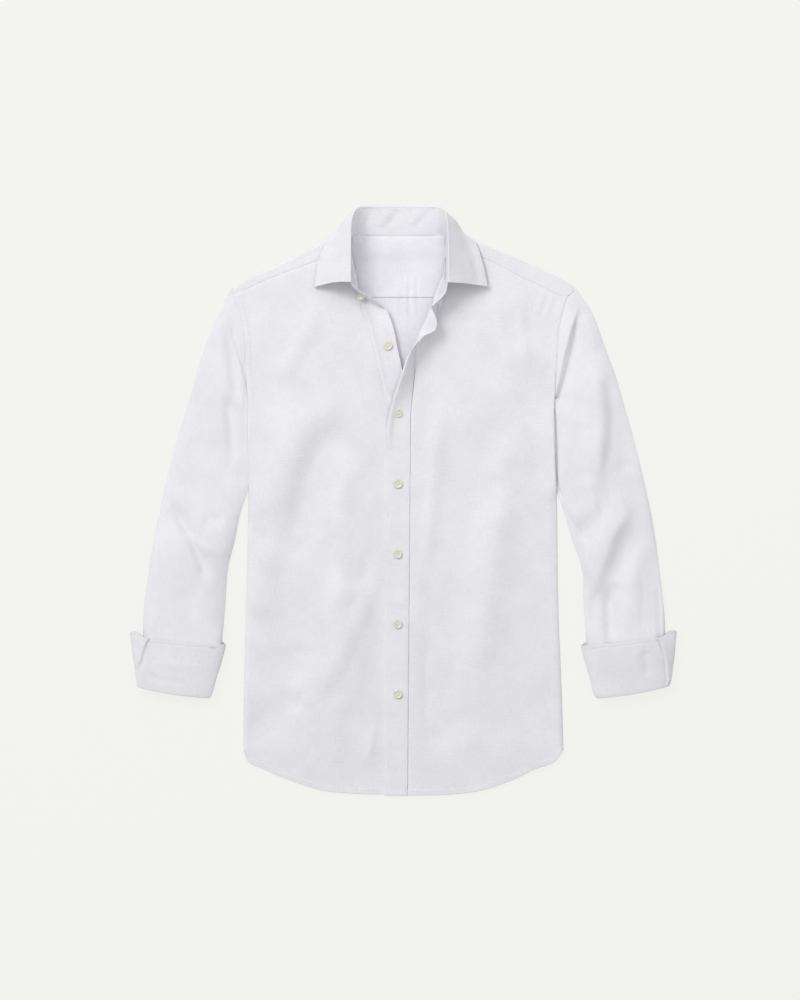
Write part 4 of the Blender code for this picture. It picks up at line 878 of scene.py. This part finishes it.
def makeLeaf():
    table = standTable()[collar["firstStation"]:collar["lastStation"] + 1]
    rows = np.concatenate([table, np.array(collar["leaf"], float)], axis=1)
    knots = lengthsAlong(rows[:, 3:6] + rows[:, 9:12])
    ends = spread((0, 4), (0.1, 10), (0.3, 6), (1, 1))[:-1]
    shares = [ends] + [np.linspace(0, 1, 9)[:-1]] * (len(knots) - 3) + [1 - ends[::-1]]
    at = np.concatenate([a + (b - a) * t for a, b, t in zip(knots, knots[1:], shares)] + [knots[-2:]])
    grid = np.array([leafSection(row) for row in curve(rows, knots, np.unique(at))])
    grid[..., 2] = np.maximum(grid[..., 2], 0)
    across, down = lengthsOver(grid, 1), lengthsOver(grid, 0)
    inside = np.minimum(np.minimum(across[:, -1:] - across, down), down[-1:] - down)
    groove = 0.17 * hump(inside - collar["edgeStitch"], 0.9) * ease(8, 14, across)
    groove = groove - creaseHeight(collar["leafCreases"], grid[..., 0], grid[..., 1]) * ease(3, 12, across)
    grid = grid - facing(grid, 4, 30) * gridNormals(grid) * groove[..., None]
    grid[..., 2] = np.maximum(grid[..., 2], 0)
    piece = clothPiece("shirtCollarLeaf", "collar_leaf", grid, collar["leafThick"], False)
    for edge, first, last in (("top", 0.3, 0.92), ("bottom", 0.3, 0.92), ("right", 0.03, 0.97)):
        sewInside(grid, edge, collar["edgeStitch"], first, last, facing(grid, 4, 30))
    return piece


standPiece = makeStand()
leafPiece = makeLeaf()
print("collar made")


# Sleeves: flattened tubes from the armhole down into the cuff.
sleeves = {
    "right": {
        "outer": [(-238.8, 292.1), (-256.4, 256.4), (-273, 215), (-292.3, 152.9), (-304.7, 111.5), (-317.1, 70.1),
                  (-336.4, -12.7), (-351.6, -95.5), (-358.6, -150), (-359.6, -191)],
        "inner": [(-215.6, 142.5), (-214.9, 80), (-214.8, 14.9), (-224.2, -12.7), (-232.9, -54.1), (-242.6, -95.5),
                  (-245.4, -136.9), (-250.9, -199.4)],
        "creases": [
            ([(-255, 266), (-252, 215), (-245, 167), (-238, 134)], 9, 1.8),
            ([(-243, 255), (-238, 208), (-233, 167), (-225, 134)], 8, -3.2),
            ([(-244, 261), (-239, 230), (-231, 203), (-223, 175), (-214, 142)], 4, 1.8, 0.5),
            ([(-256, 264), (-252, 263), (-247, 264)], 4.5, 3), ([(-244, 150), (-238, 105), (-233, 48)], 8, -4.6),
            ([(-290, 95), (-267, 59), (-240, 23)], 9, -1.6),
            ([(-325, 1), (-310, -22), (-291, -54), (-277, -89), (-270, -116)], 8.5, -6.4, -0.2),
            ([(-306, -43), (-277, -64), (-234, -78)], 8, 2), ([(-278, -24), (-262, -27), (-246, -23)], 9, -2.6, 0.1),
            ([(-350, -54), (-346, -116), (-343, -192)], 6, 2), ([(-301, -116), (-296, -153), (-295, -199)], 12, -1.6),
            ([(-385, -62), (-300, -58), (-180, -52)], 48, 7),
        ],
        "seed": 83, "high": (6.2, 9.6), "shoulderRise": 0, "crown": 3.8,
    },
    "left": {
        "outer": [(239.2, 292), (261.1, 256.4), (276.3, 215), (291.5, 173.6), (303.9, 132.2), (326, 49.4),
                  (343.9, -33.4), (354.9, -116.2), (359.5, -160), (360.5, -189.5)],
        "inner": [(208.2, 132.4), (209.7, 70), (211.2, 12), (219.4, -12.7), (232.1, -54.1), (245.9, -95.5),
                  (247.3, -136.9), (252, -198)],
        "creases": [
            ([(329, -26), (304, -76), (282, -126), (274, -178)], 18, -6.6),
            ([(271, 208), (274, 153), (276, 98), (271, 49), (260, 8)], 12, 6.5),
            ([(262, 194), (260, 139), (262, 84), (257, 29)], 12, 4.8),
            ([(307, 15), (279, -33), (260, -82), (246, -123)], 18, 7.5),
            ([(232, -54), (254, -35), (279, -15), (301, 1)], 18, -5.4),
            ([(293, -109), (287, -151), (286, -192)], 12, -5.1),
            ([(318, 1), (290, -47), (271, -95), (254, -144)], 8, 2.5), ([(229, -29), (251, -18), (274, -10)], 18, 5.1),
            ([(279, 181), (287, 125), (282, 70), (271, 22)], 8, -2.8),
            ([(343, -54), (345, -123), (345, -187)], 18, -5.4), ([(298, 139), (307, 84), (315, 29)], 18, -4.4),
            ([(236, 112), (239, 70), (246, 15)], 18, -2.1), ([(271, -116), (260, -151), (254, -189)], 8, -2.4),
            ([(251, 261), (260, 233), (268, 205)], 12, 3.4), ([(326, -82), (329, -137), (326, -192)], 5, -1),
            ([(281, -120), (282, -160), (284, -215)], 7, -3.4), ([(350, -110), (352, -150), (354, -215)], 4, -3.2),
            ([(258, -120), (262, -160), (264, -215)], 5, -1.6),
        ],
        "seed": 97, "high": (12, 13), "shoulderRise": 0.35, "crown": 1.9,
    },
    # the deep fold that falls from the left shoulder to the underarm
    "deepFold": {"line": [(241, 270), (230, 236), (219.5, 198), (212, 160), (209, 146)], "near": 30,
                 # millimetres to the right of its crest, and height there
                 "away": [0, 2, 9, 13, 24, 40], "height": [4.2, 2.6, -5.6, -6.6, -3, 0]},
    # heights in mm: "high" at 0.25 and 0.6 of the length; a higher "crown" makes a flatter top
    "length": 430, "highTop": 7.6, "highEnd": 19.6, "side": 3.2, "lowEnd": 1.8, "armholeGap": 0.35,
}
cuffSide = 8                                  # how high the two sides of a cuff lie
underShares = np.linspace(0.985, 0.015, 34)   # places across the lower wall of a sleeve or cuff


# Heights across the upper and the lower wall of a flattened tube.
def tubeHeights(over, low, high, side, soft=0, boxy=0, crown=1.9):
    t = np.abs(2 * over - 1)
    soft = soft * (1 if crown > 2 else 0.3 + 0.7 * ease(0.3, 0.8, over))
    arched, flat = np.sqrt(1 - t ** (2.6 + 3.4 * boxy)), (1 - t ** crown) ** 0.95
    top = side + (high - side) * (arched + (flat - arched) * soft)
    return top, side - (side - low) * (1 - np.abs(2 * underShares - 1) ** 6) ** 0.25


def makeSleeve(which, front, frontHeight):
    values, sign = sleeves[which], -1 if which == "right" else 1
    over = (1 - np.cos(np.linspace(0, math.pi, 64))) / 2
    shares = np.concatenate([over, underShares])
    vs = spread((0, 8), (0.02, 22), (0.12, 120), (1, 1))
    shoulder = beside(front["armhole"], sign * sleeves["armholeGap"])
    outer, inner = [shoulder[0]] + values["outer"][1:], [shoulder[-1]] + values["inner"][1:]
    end = along([outer[-1], inner[-1]], shares)
    plan = patch(shares, vs, along(shoulder, shares), end, along(outer, vs), along(inner, vs))
    x, y = plan[..., 0], plan[..., 1]
    high = np.interp(vs, [0, 0.25, 0.6, 1], [sleeves["highTop"], *values["high"], sleeves["highEnd"]])
    side = sleeves["side"] + (cuffSide - sleeves["side"]) * ease(0.7, 1, vs)
    low, soft = sleeves["lowEnd"] * ease(0.86, 0.97, vs), ease(0.04, 0.14, vs) * ease(1, 0.86, vs)
    sections = zip(low, high, side, soft, ease(0.88, 0.98, vs))
    z = np.array([np.concatenate(tubeHeights(over, *section, values["crown"])) for section in sections])
    upper = np.arange(len(shares)) < len(over)
    arch = np.where(upper, 4 * shares * (1 - shares), 0)
    onTop = arch > 0
    # at the armhole the sleeve starts level with the front
    atShoulder = ease(0.14, 0.04, shares) * upper
    seamTop = frontHeight(x, y) + wall - 0.1 + values["shoulderRise"] * atShoulder
    z = z + (seamTop - z) * ease(0.11, 0, vs)[:, None] * onTop
    sewnOn = ease(0, 0.02, vs)[:, None]
    z = z + (creaseHeight(values["creases"], x, y) * sewnOn + handling(x, y, values["seed"])) * np.sqrt(arch)
    fromInner = apart(plan, plan[:, len(over) - 1:len(over)])
    if which == "left":
        fold = sleeves["deepFold"]
        away, beyond, run = lineDistance(fold["line"], x, y)
        near = fold["height"][0] * ease(fold["near"], 0, away)
        narrow = 0.35 + 0.65 * ease(0, 0.5, run) - 0.35 * ease(0.7, 1, run)
        far = np.interp(away / narrow, fold["away"], fold["height"])
        z = z + ease(0, 0.3, run) * np.where(beyond < 0, near, far) * onTop * sewnOn
        z = np.where(onTop, np.maximum(z, 1.2), z)
        # below the underarm its inner edge lies low, beside the front's
        z = z + (1.3 - z) * 0.9 * ease(148, 118, y) * ease(0, 16, y) * ease(9, 3, fromInner) * onTop
    else:
        z = z + 2.6 * ease(150, 128, y) * ease(4, 30, y) * hump(fromInner, 11) * upper
    z = z - 0.5 * hump(vs * sleeves["length"], 2)[:, None] * onTop * (1 - 0.8 * atShoulder)
    grid = withHeight(plan, z)
    # its first row is tucked under the front, and its last runs on a little way inside the cuff
    tucked = grid[0].copy()
    tucked[:, :2] = np.where(onTop[:, None], along(beside(front["armhole"], -sign * 4), shares), tucked[:, :2])
    tucked[:, 2] = np.maximum(tucked[:, 2] - 0.5 * onTop, 0.75)
    inCuff = grid[-1] + 6 * unit((grid[-1] - grid[-3]) * (1, 1, 0)) - (0, 0, 0.8)
    inCuff[:, 2] = np.maximum(inCuff[:, 2], 0.2)
    grid, middle = np.concatenate([tucked[None], grid, inCuff[None]]), len(over) // 2
    if which == "left":
        grid, middle = grid[:, ::-1], len(shares) - 1 - middle
    return clothPiece("shirtSleeve" + which.title(), "sleeve_" + which, grid, outwards=False, ring=True, middle=middle)


sleeveRightPiece = makeSleeve("right", rightFront, rightHeight)
sleeveLeftPiece = makeSleeve("left", leftFront, leftHeight)
print("sleeves made")


# Turned-back cuffs: one wall down inside, round the fold and up outside.
cuffs = {
    # lowest, highest, sag towards the fold, corner standing up
    "sections": [(1.8, 19.6, 0, 0), (2.2, 17.4, 0, 0), (2.6, 14, 1.5, 0), (2.7, 13.2, 2.5, 0), (1.4, 14.4, 2.5, 0),
                 (0, 16.2, 2.5, 0), (0, 18.4, 1, 0), (0, 20, 0.5, 1.5), (0, 21, 0, 5), (0, 21.4, 0, 9)],
    "foldRow": 4,        # row at which the wall turns back
    "right": {
        # outer and inner end x y, the slit's share and width
        "ends": [
            (-359.6, -191.6, -250.9, -200, 0.20, 1), (-361.5, -212, -255.8, -220.5, 0.17, 1),
            (-363, -238, -262.4, -251, 0.13, 1), (-364, -252, -268, -267, 0.11, 1),
            (-366.2, -257, -268.4, -272.2, 0.09, 0.8), (-368.2, -251, -264, -266, 0.07, 0.6),
            (-371.4, -229, -257.4, -243, 0.07, 5), (-373.8, -213, -252, -226, 0.12, 5.2),
            (-376.2, -196, -247.4, -209.5, 0.17, 1.7), (-377.8, -188, -244.7, -198.3, 0.215, 0.4),
        ],
        "slitRow": 6, "lip": 1.5, "slitDepth": 2, "innerDip": 0,
        "creases": [([(-364, -235), (-332, -246), (-296, -251)], 3.5, -1, 0.3),
                    ([(-340, -222), (-310, -228), (-286, -226)], 6, 0.7)],
    },
    "left": {
        "ends": [
            (360.5, -190, 252, -198.6, 0.14, 1), (361.6, -210, 255.8, -219, 0.10, 1),
            (362, -238, 261.6, -251, 0.06, 1), (361.8, -250, 266.4, -267, 0.05, 1),
            (364, -256, 267, -272.2, 0.05, 0.8), (368, -250, 261.4, -266, 0.06, 0.6),
            (371.4, -228, 255.2, -242, 0.10, 0.4), (373.6, -212, 249.8, -224, 0.134, 0.4),
            (375.2, -195, 245.8, -208.6, 0.18, 0.4), (376.4, -186, 243.8, -199.8, 0.227, 0.4),
        ],
        "slitRow": 4.9, "lip": 3, "slitDepth": 1, "innerDip": 0.7,
        "creases": [([(331, -203), (334, -220), (337, -243)], 5, -2, 0.2),
                    ([(318, -205), (322, -225), (324, -244)], 7, 0.8)],
    },
    "between": 8,        # steps from one row to the next
    "beforeSlit": [0, 0.012, 0.05, 0.11, 0.2, 0.31, 0.43, 0.55, 0.66, 0.76, 0.84, 0.9, 0.95, 0.98, 1],
    "thick": 0.9, "edgeStitch": 5.5, "backLayer": 4.5, "seed": 103, "weaveMiddle": 40,
}


def makeCuff(which):
    values, steps = cuffs[which], cuffs["between"]
    table = np.concatenate([values["ends"], cuffs["sections"]], axis=1)
    at = spread((0, steps * 7), (7, steps + 4), (8, steps * 2), (9, 1))
    arc = (1 - np.cos(np.linspace(0, math.pi, 50))) / 2
    grid = []
    for place, row in zip(at, curve(table, np.arange(len(table)), at)):
        ax, ay, bx, by, slit, gap, low, high, sag, corner = row
        width = math.hypot(bx - ax, by - ay)
        far = slit + max(gap, 0.6) / width
        inSlit = slit + (far - slit) * np.array([0.25, 0.5, 0.75])
        over = np.concatenate([slit * np.array(cuffs["beforeSlit"]), inSlit, far + (1 - far) * arc])
        shares = np.concatenate([over, underShares])
        plan = np.outer(1 - shares, (ax, ay)) + np.outer(shares, (bx, by))
        plan[:, 1] += corner * hump(shares - 0.05, 0.075) - sag * 4 * shares * (1 - shares)
        # the layer underneath shows past the end that faces the body
        past = ease(1, 0.955, underShares) * ease(0.6, 0.8, underShares)
        plan[len(over):, 1] += cuffs["backLayer"] * float(ease(7, 9, place)) * past
        top, bottom = tubeHeights(over, max(low, 0), high, cuffSide)
        # the cuff's end by the slit: a turned edge that stands a little proud of the layer beside it
        opened = float(ease(values["slitRow"] - 0.3, values["slitRow"] + 0.3, place))
        beyond, inside = (slit - over) * width, (over - far) * width
        lip = np.where(beyond >= 0, ease(0, 2.8, beyond) * hump(np.maximum(beyond - 2.8, 0), 7), 0)
        groove = hump((over - (slit + far) / 2) * width, 0.45 * max(gap, 1.2))
        dip = np.where(inside >= 0, hump(inside, 3), 0)
        top = top + opened * (values["lip"] * lip - values["slitDepth"] * groove - values["innerDip"] * dip)
        grid.append(np.column_stack([plan, np.concatenate([top, bottom])]))
    grid, overCount = np.array(grid), len(over)
    outside = ease(cuffs["foldRow"] + 0.2, cuffs["foldRow"] + 1, at)[:, None] * (np.arange(grid.shape[1]) < overCount)
    x, y = grid[..., 0], grid[..., 1]
    groove = 0.3 * hump(lengthsOver(grid[::-1], 0)[::-1] - cuffs["edgeStitch"], 0.9)
    grid[..., 2] += (creaseHeight(values["creases"], x, y) + 0.6 * handling(x, y, cuffs["seed"]) - groove) * outside
    grid[..., 2] = np.maximum(grid[..., 2], 0)
    face = grid[:, overCount - len(arc):overCount]
    sewInside(face, "bottom", cuffs["edgeStitch"], 0.02, 0.97, facing(face, -10, 20))
    middle = cuffs["weaveMiddle"]
    if which == "right":
        grid, middle = grid[:, ::-1], grid.shape[1] - 1 - middle
    return clothPiece("shirtCuff" + which.title(), "cuff_" + which, grid, cuffs["thick"], False, True, middle=middle)


cuffRightPiece = makeCuff("right")
cuffLeftPiece = makeCuff("left")
print("cuffs made")


# Buttons: four-hole shirt buttons, 12 mm across.
buttonLook = {
    "radius": 6, "height": 2.4,
    # out from the axis and up, as shares of the radius and the height
    "profile": [(0, 0), (0.72, 0), (0.9, 0.12), (0.985, 0.36), (1, 0.6), (0.985, 0.82), (0.93, 0.96), (0.86, 1),
                (0.79, 0.97), (0.7, 0.88), (0.6, 0.8), (0.5, 0.77), (0, 0.76)],
    "holeRadius": 0.55, "holeOut": 1.25,
    "clear": 0.15,                                     # air under a button
    "x": -8, "ys": (121.2, 23.2, -73.4, -170, -266.6), "turns": (0.1, -0.5, 0.35, 0.8, -0.2),
    "upper": (-21.8, 213.6), "upperTurn": 0.6,
    # the collar's button leans on the stand's end and hangs a little on its thread
    "collarHang": (0.5, -2.7, 6), "collarFacing": (-0.25, 0.05, 0.96), "collarTurn": 0.2,
    "slitLength": 15, "slitWidth": 2.2,                # of the buttonholes
    "colour": "#DFDECC", "deep": "#D0CFBA", "roughness": 0.26, "coat": 0.3,
    "cloudsPerM": 380,                                 # pearly clouds of about 2.6 mm
}


# Cast and turned polyester resin: milky, with faint pearly clouds and a polished face.
def castPolyester(name, look):
    made, tree = newFinish(name)
    place = addNode(tree, "TexCoord").outputs
    swirl = addNode(tree, "TexNoise", values={"Scale": look["cloudsPerM"], "Detail": 3, "Distortion": 1.4},
                    links={"Vector": place["Object"]})
    tone = addNode(tree, "ValToRGB", links={"Fac": swirl})
    for stop, (position, code) in zip(tone.color_ramp.elements, ((0.35, look["deep"]), (0.6, look["colour"]))):
        stop.position, stop.color = position, linear(code)
    surface = addNode(tree, "BsdfPrincipled", links={"Base Color": tone},
                      values={"Roughness": look["roughness"], "IOR": 1.54, "Coat Weight": look["coat"],
                              "Coat Roughness": 0.12})
    addNode(tree, "OutputMaterial", links={"Surface": surface})
    return made


resinFinish = castPolyester("cast polyester resin, turned and polished", buttonLook)


# Points and faces of a profile turned round Z; the first and last points are on the axis.
def turned(profile, steps):
    rings, turns = profile[1:-1], 2 * math.pi * np.arange(steps) / steps
    points = [(r * math.cos(a), r * math.sin(a), z) for r, z in rings for a in turns]
    points = [(0, 0, profile[0][1])] + points + [(0, 0, profile[-1][1])]
    at = lambda ring, k: 1 + ring * steps + k % steps
    last, faces = len(rings) - 1, []
    for k in range(steps):
        faces.append((0, at(0, k + 1), at(0, k)))
        faces += [(at(i, k), at(i, k + 1), at(i + 1, k + 1), at(i + 1, k)) for i in range(last)]
        faces.append((at(last, k), at(last, k + 1), len(points) - 1))
    return points, faces


# The turned disc with its four holes cut through.
def buttonMesh():
    profile = [(buttonLook["radius"] * a * mm, buttonLook["height"] * b * mm) for a, b in buttonLook["profile"]]
    disc = addPiece("buttonBlank", meshFrom("buttonBlank", *turned(profile, 64), resinFinish))
    hole, out, cutters = buttonLook["holeRadius"] * mm, buttonLook["holeOut"] * mm, []
    drill = [(0, -1 * mm), (hole, -1 * mm), (hole, 4 * mm), (0, 4 * mm)]
    for sx, sy in ((1, 1), (1, -1), (-1, -1), (-1, 1)):
        cutter = addPiece("buttonDrill", meshFrom("buttonDrill", *turned(drill, 20), resinFinish))
        cutter.location = (sx * out, sy * out, 0)
        cut = disc.modifiers.new("hole", "BOOLEAN")
        cut.operation = "DIFFERENCE"
        cut.object = cutter
        cutters.append(cutter)
    bpy.context.view_layer.update()
    done = bpy.data.meshes.new_from_object(disc.evaluated_get(bpy.context.evaluated_depsgraph_get()))
    done.name = "shirtButton"
    for spare in cutters + [disc]:
        bpy.data.objects.remove(spare, do_unlink=True)
    done.shade_smooth()
    done.set_sharp_from_angle(angle=math.radians(34))
    return done


# Two bundles of three threads, each across two of the holes.
def threadMesh():
    out, h = buttonLook["holeOut"], buttonLook["height"]
    half = [(-out, -0.3), (-out, h * 0.45), (-out * 0.8, h * 0.66), (-out * 0.3, h * 0.74)]
    points, faces = [], []
    for side in (out, -out):
        for aside in (-0.42, 0, 0.42):
            line = [(side + aside, y, z) for y, z in half] + [(side + aside, -y, z) for y, z in half[::-1]]
            some, quads = tube(np.array(line) * (1, 1, 1.12) * mm, 0.26 * mm, 6, len(points))
            points, faces = points + some, faces + quads
    return meshFrom("shirtButtonThread", points, faces, threadFinish)


# A button's place over three points of the cloth, and the way it faces.
def seatOn(middle, across, onward, thickness):
    o, a, b = Vector(middle), Vector(across), Vector(onward)
    normal = (a - o).cross(b - o).normalized()
    return o + normal * (thickness + buttonLook["clear"]), normal


def placeButton(name, node, seat, normal, meshes, spin):
    button, thread = addPiece(name, meshes[0]), addPiece(name + "Thread", meshes[1])
    for piece, slot in ((button, "resin"), (thread, "cotton")):
        piece.rotation_mode = "QUATERNION"
        piece.rotation_quaternion = Quaternion(normal, spin) @ normal.to_track_quat("Z", "Y")
        piece.location = (seat - Vector(tableOrigin)) * mm
        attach(piece, "root")
    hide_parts(node)


def onPlacket(x, y):
    places = placketTop.reshape(-1, 3)
    return float(places[np.argmin((places[:, 0] - x) ** 2 + (places[:, 1] - y) ** 2), 2])


# A buttonhole up the middle of the placket: a low rim of close stitches round the slit.
def sewButtonhole(y):
    half, lip = buttonLook["slitLength"] / 2, buttonLook["slitWidth"] / 2
    loop = []
    for a in np.linspace(0, 2 * math.pi, 41):
        x, at = buttonLook["x"] + lip * math.sin(a), y + half * math.copysign(abs(math.cos(a)) ** 0.5, math.cos(a))
        loop.append((x, at, onPlacket(x, at) - 0.12))
    points, faces = tube(loop, 0.5, 6, len(stitchBag["points"]))
    stitchBag["points"] += points
    stitchBag["faces"] += faces


def makeButtons():
    meshes = (buttonMesh(), threadMesh())
    rows = placketRows(60, 40)
    rows = rows[np.argsort(rows[:, 7])]
    for number, (y, spin) in enumerate(zip(buttonLook["ys"], buttonLook["turns"]), 2):
        row, above = readAt([y, y + 4], rows[:, 7], rows)
        t = (row[0] - buttonLook["x"]) / (row[0] - row[6])
        seat, normal = seatOn(bandPoint(row, t), bandPoint(row, t - 0.1), bandPoint(above, t), placketBand["thick"])
        seat.z = onPlacket(buttonLook["x"], y) + 0.25
        placeButton(f"shirtButton{number}", f"button_{number}", seat, normal, meshes, spin)
        sewButtonhole(y)
    x, y = buttonLook["upper"]
    below = [(a, b, float(rightHeight(a, b, True))) for a, b in ((x, y), (x + 1, y), (x, y + 1))]
    placeButton("shirtButton1", "button_1", *seatOn(*below, wall), meshes, buttonLook["upperTurn"])
    seat = Vector(standTable()[collar["buttonRow"]][0:3]) + Vector(buttonLook["collarHang"])
    normal = Vector(buttonLook["collarFacing"]).normalized()
    placeButton("shirtButtonCollar", "button_collar", seat, normal, meshes, buttonLook["collarTurn"])


makeButtons()
print("buttons made")

sewnPoints = (np.array(stitchBag["points"]) - tableOrigin) * mm
stitchPiece = addPiece("shirtStitching", meshFrom("shirtStitching", sewnPoints, stitchBag["faces"], threadFinish))
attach(stitchPiece, "root")
print("sewing made:", len(sewnPoints), "points")


# Floor, light and camera.
studio = {
    "floor": "#F2F3EE", "floorGlow": 0.9, "floorSize": 9,
    "sky": "#F5F5F5", "skyLow": 0.40, "skyHigh": 0.88,     # brighter overhead than round the horizon
    # softboxes: watts, size, place
    "softboxes": [(123, 2.08, (-2.4, 2.8, 3.76)), (2, 0.9, (0.5, 0.95, 1))],
    # the photo's size in pixels, and the pixel that shows the tables' origin
    "photo": (800, 1000), "originPixel": (403.8, 500.8), "mmPerPixel": 1.38,
    "cameraHeight": 6, "sensor": 36,
}


# Matte painted board under the shirt, evenly lit by its own share of light, as a lightbox table is.
def mattePaint(name, colour, glow):
    made, tree = newFinish(name)
    unlit = tuple(c * (1 - glow) for c in linear(colour)[:3]) + (1,)
    surface = addNode(tree, "BsdfPrincipled",
                      values={"Base Color": unlit, "Roughness": 0.95, "Specular IOR Level": 0.1,
                              "Emission Color": linear(colour), "Emission Strength": glow})
    addNode(tree, "OutputMaterial", links={"Surface": surface})
    return made


half = studio["floorSize"] / 2
corners = [(x * half, y * half, -0.0002) for x, y in ((-1, -1), (1, -1), (1, 1), (-1, 1))]
board = mattePaint("matte painted board", studio["floor"], studio["floorGlow"])
floor = addPiece("studioFloor", meshFrom("studioFloor", corners, [(0, 1, 2, 3)], board, smooth=False))

sky = bpy.data.worlds.new("softSky")
sky.use_nodes = True
shine = sky.node_tree.nodes["Background"].inputs
shine["Color"].default_value = linear(studio["sky"])
way = addNode(sky.node_tree, "TexCoord")
split = addNode(sky.node_tree, "SeparateXYZ", links={"Vector": way.outputs["Generated"]})
rise = addNode(sky.node_tree, "MapRange", values={"To Min": studio["skyLow"], "To Max": studio["skyHigh"]},
               links={"Value": split.outputs["Z"]})
sky.node_tree.links.new(rise.outputs["Result"], shine["Strength"])
bpy.context.scene.world = sky

for number, (watts, size, place) in enumerate(studio["softboxes"], 1):
    box = addPiece(f"softbox{number}", bpy.data.lights.new(f"softbox{number}", "AREA"))
    box.data.energy = watts
    box.data.size = size
    box.location = place
    box.rotation_mode = "QUATERNION"
    box.rotation_quaternion = Vector(place).to_track_quat("Z", "Y")

lens = bpy.data.cameras.new("photoCamera")
camera = addPiece("photoCamera", lens)
bpy.context.scene.camera = camera
(wide, tall), (originX, originY), scale = studio["photo"], studio["originPixel"], studio["mmPerPixel"]
middleX = (wide / 2 - originX) * scale - tableOrigin[0]
middleY = (originY - tall / 2) * scale - tableOrigin[1]
camera.location = (middleX * mm, middleY * mm, studio["cameraHeight"])
lens.sensor_width = studio["sensor"]
lens.lens = studio["sensor"] * studio["cameraHeight"] / (scale * tall * mm)
lens.clip_end = 100
bpy.context.scene.view_settings.view_transform = "Standard"
print("floor, light and camera set")
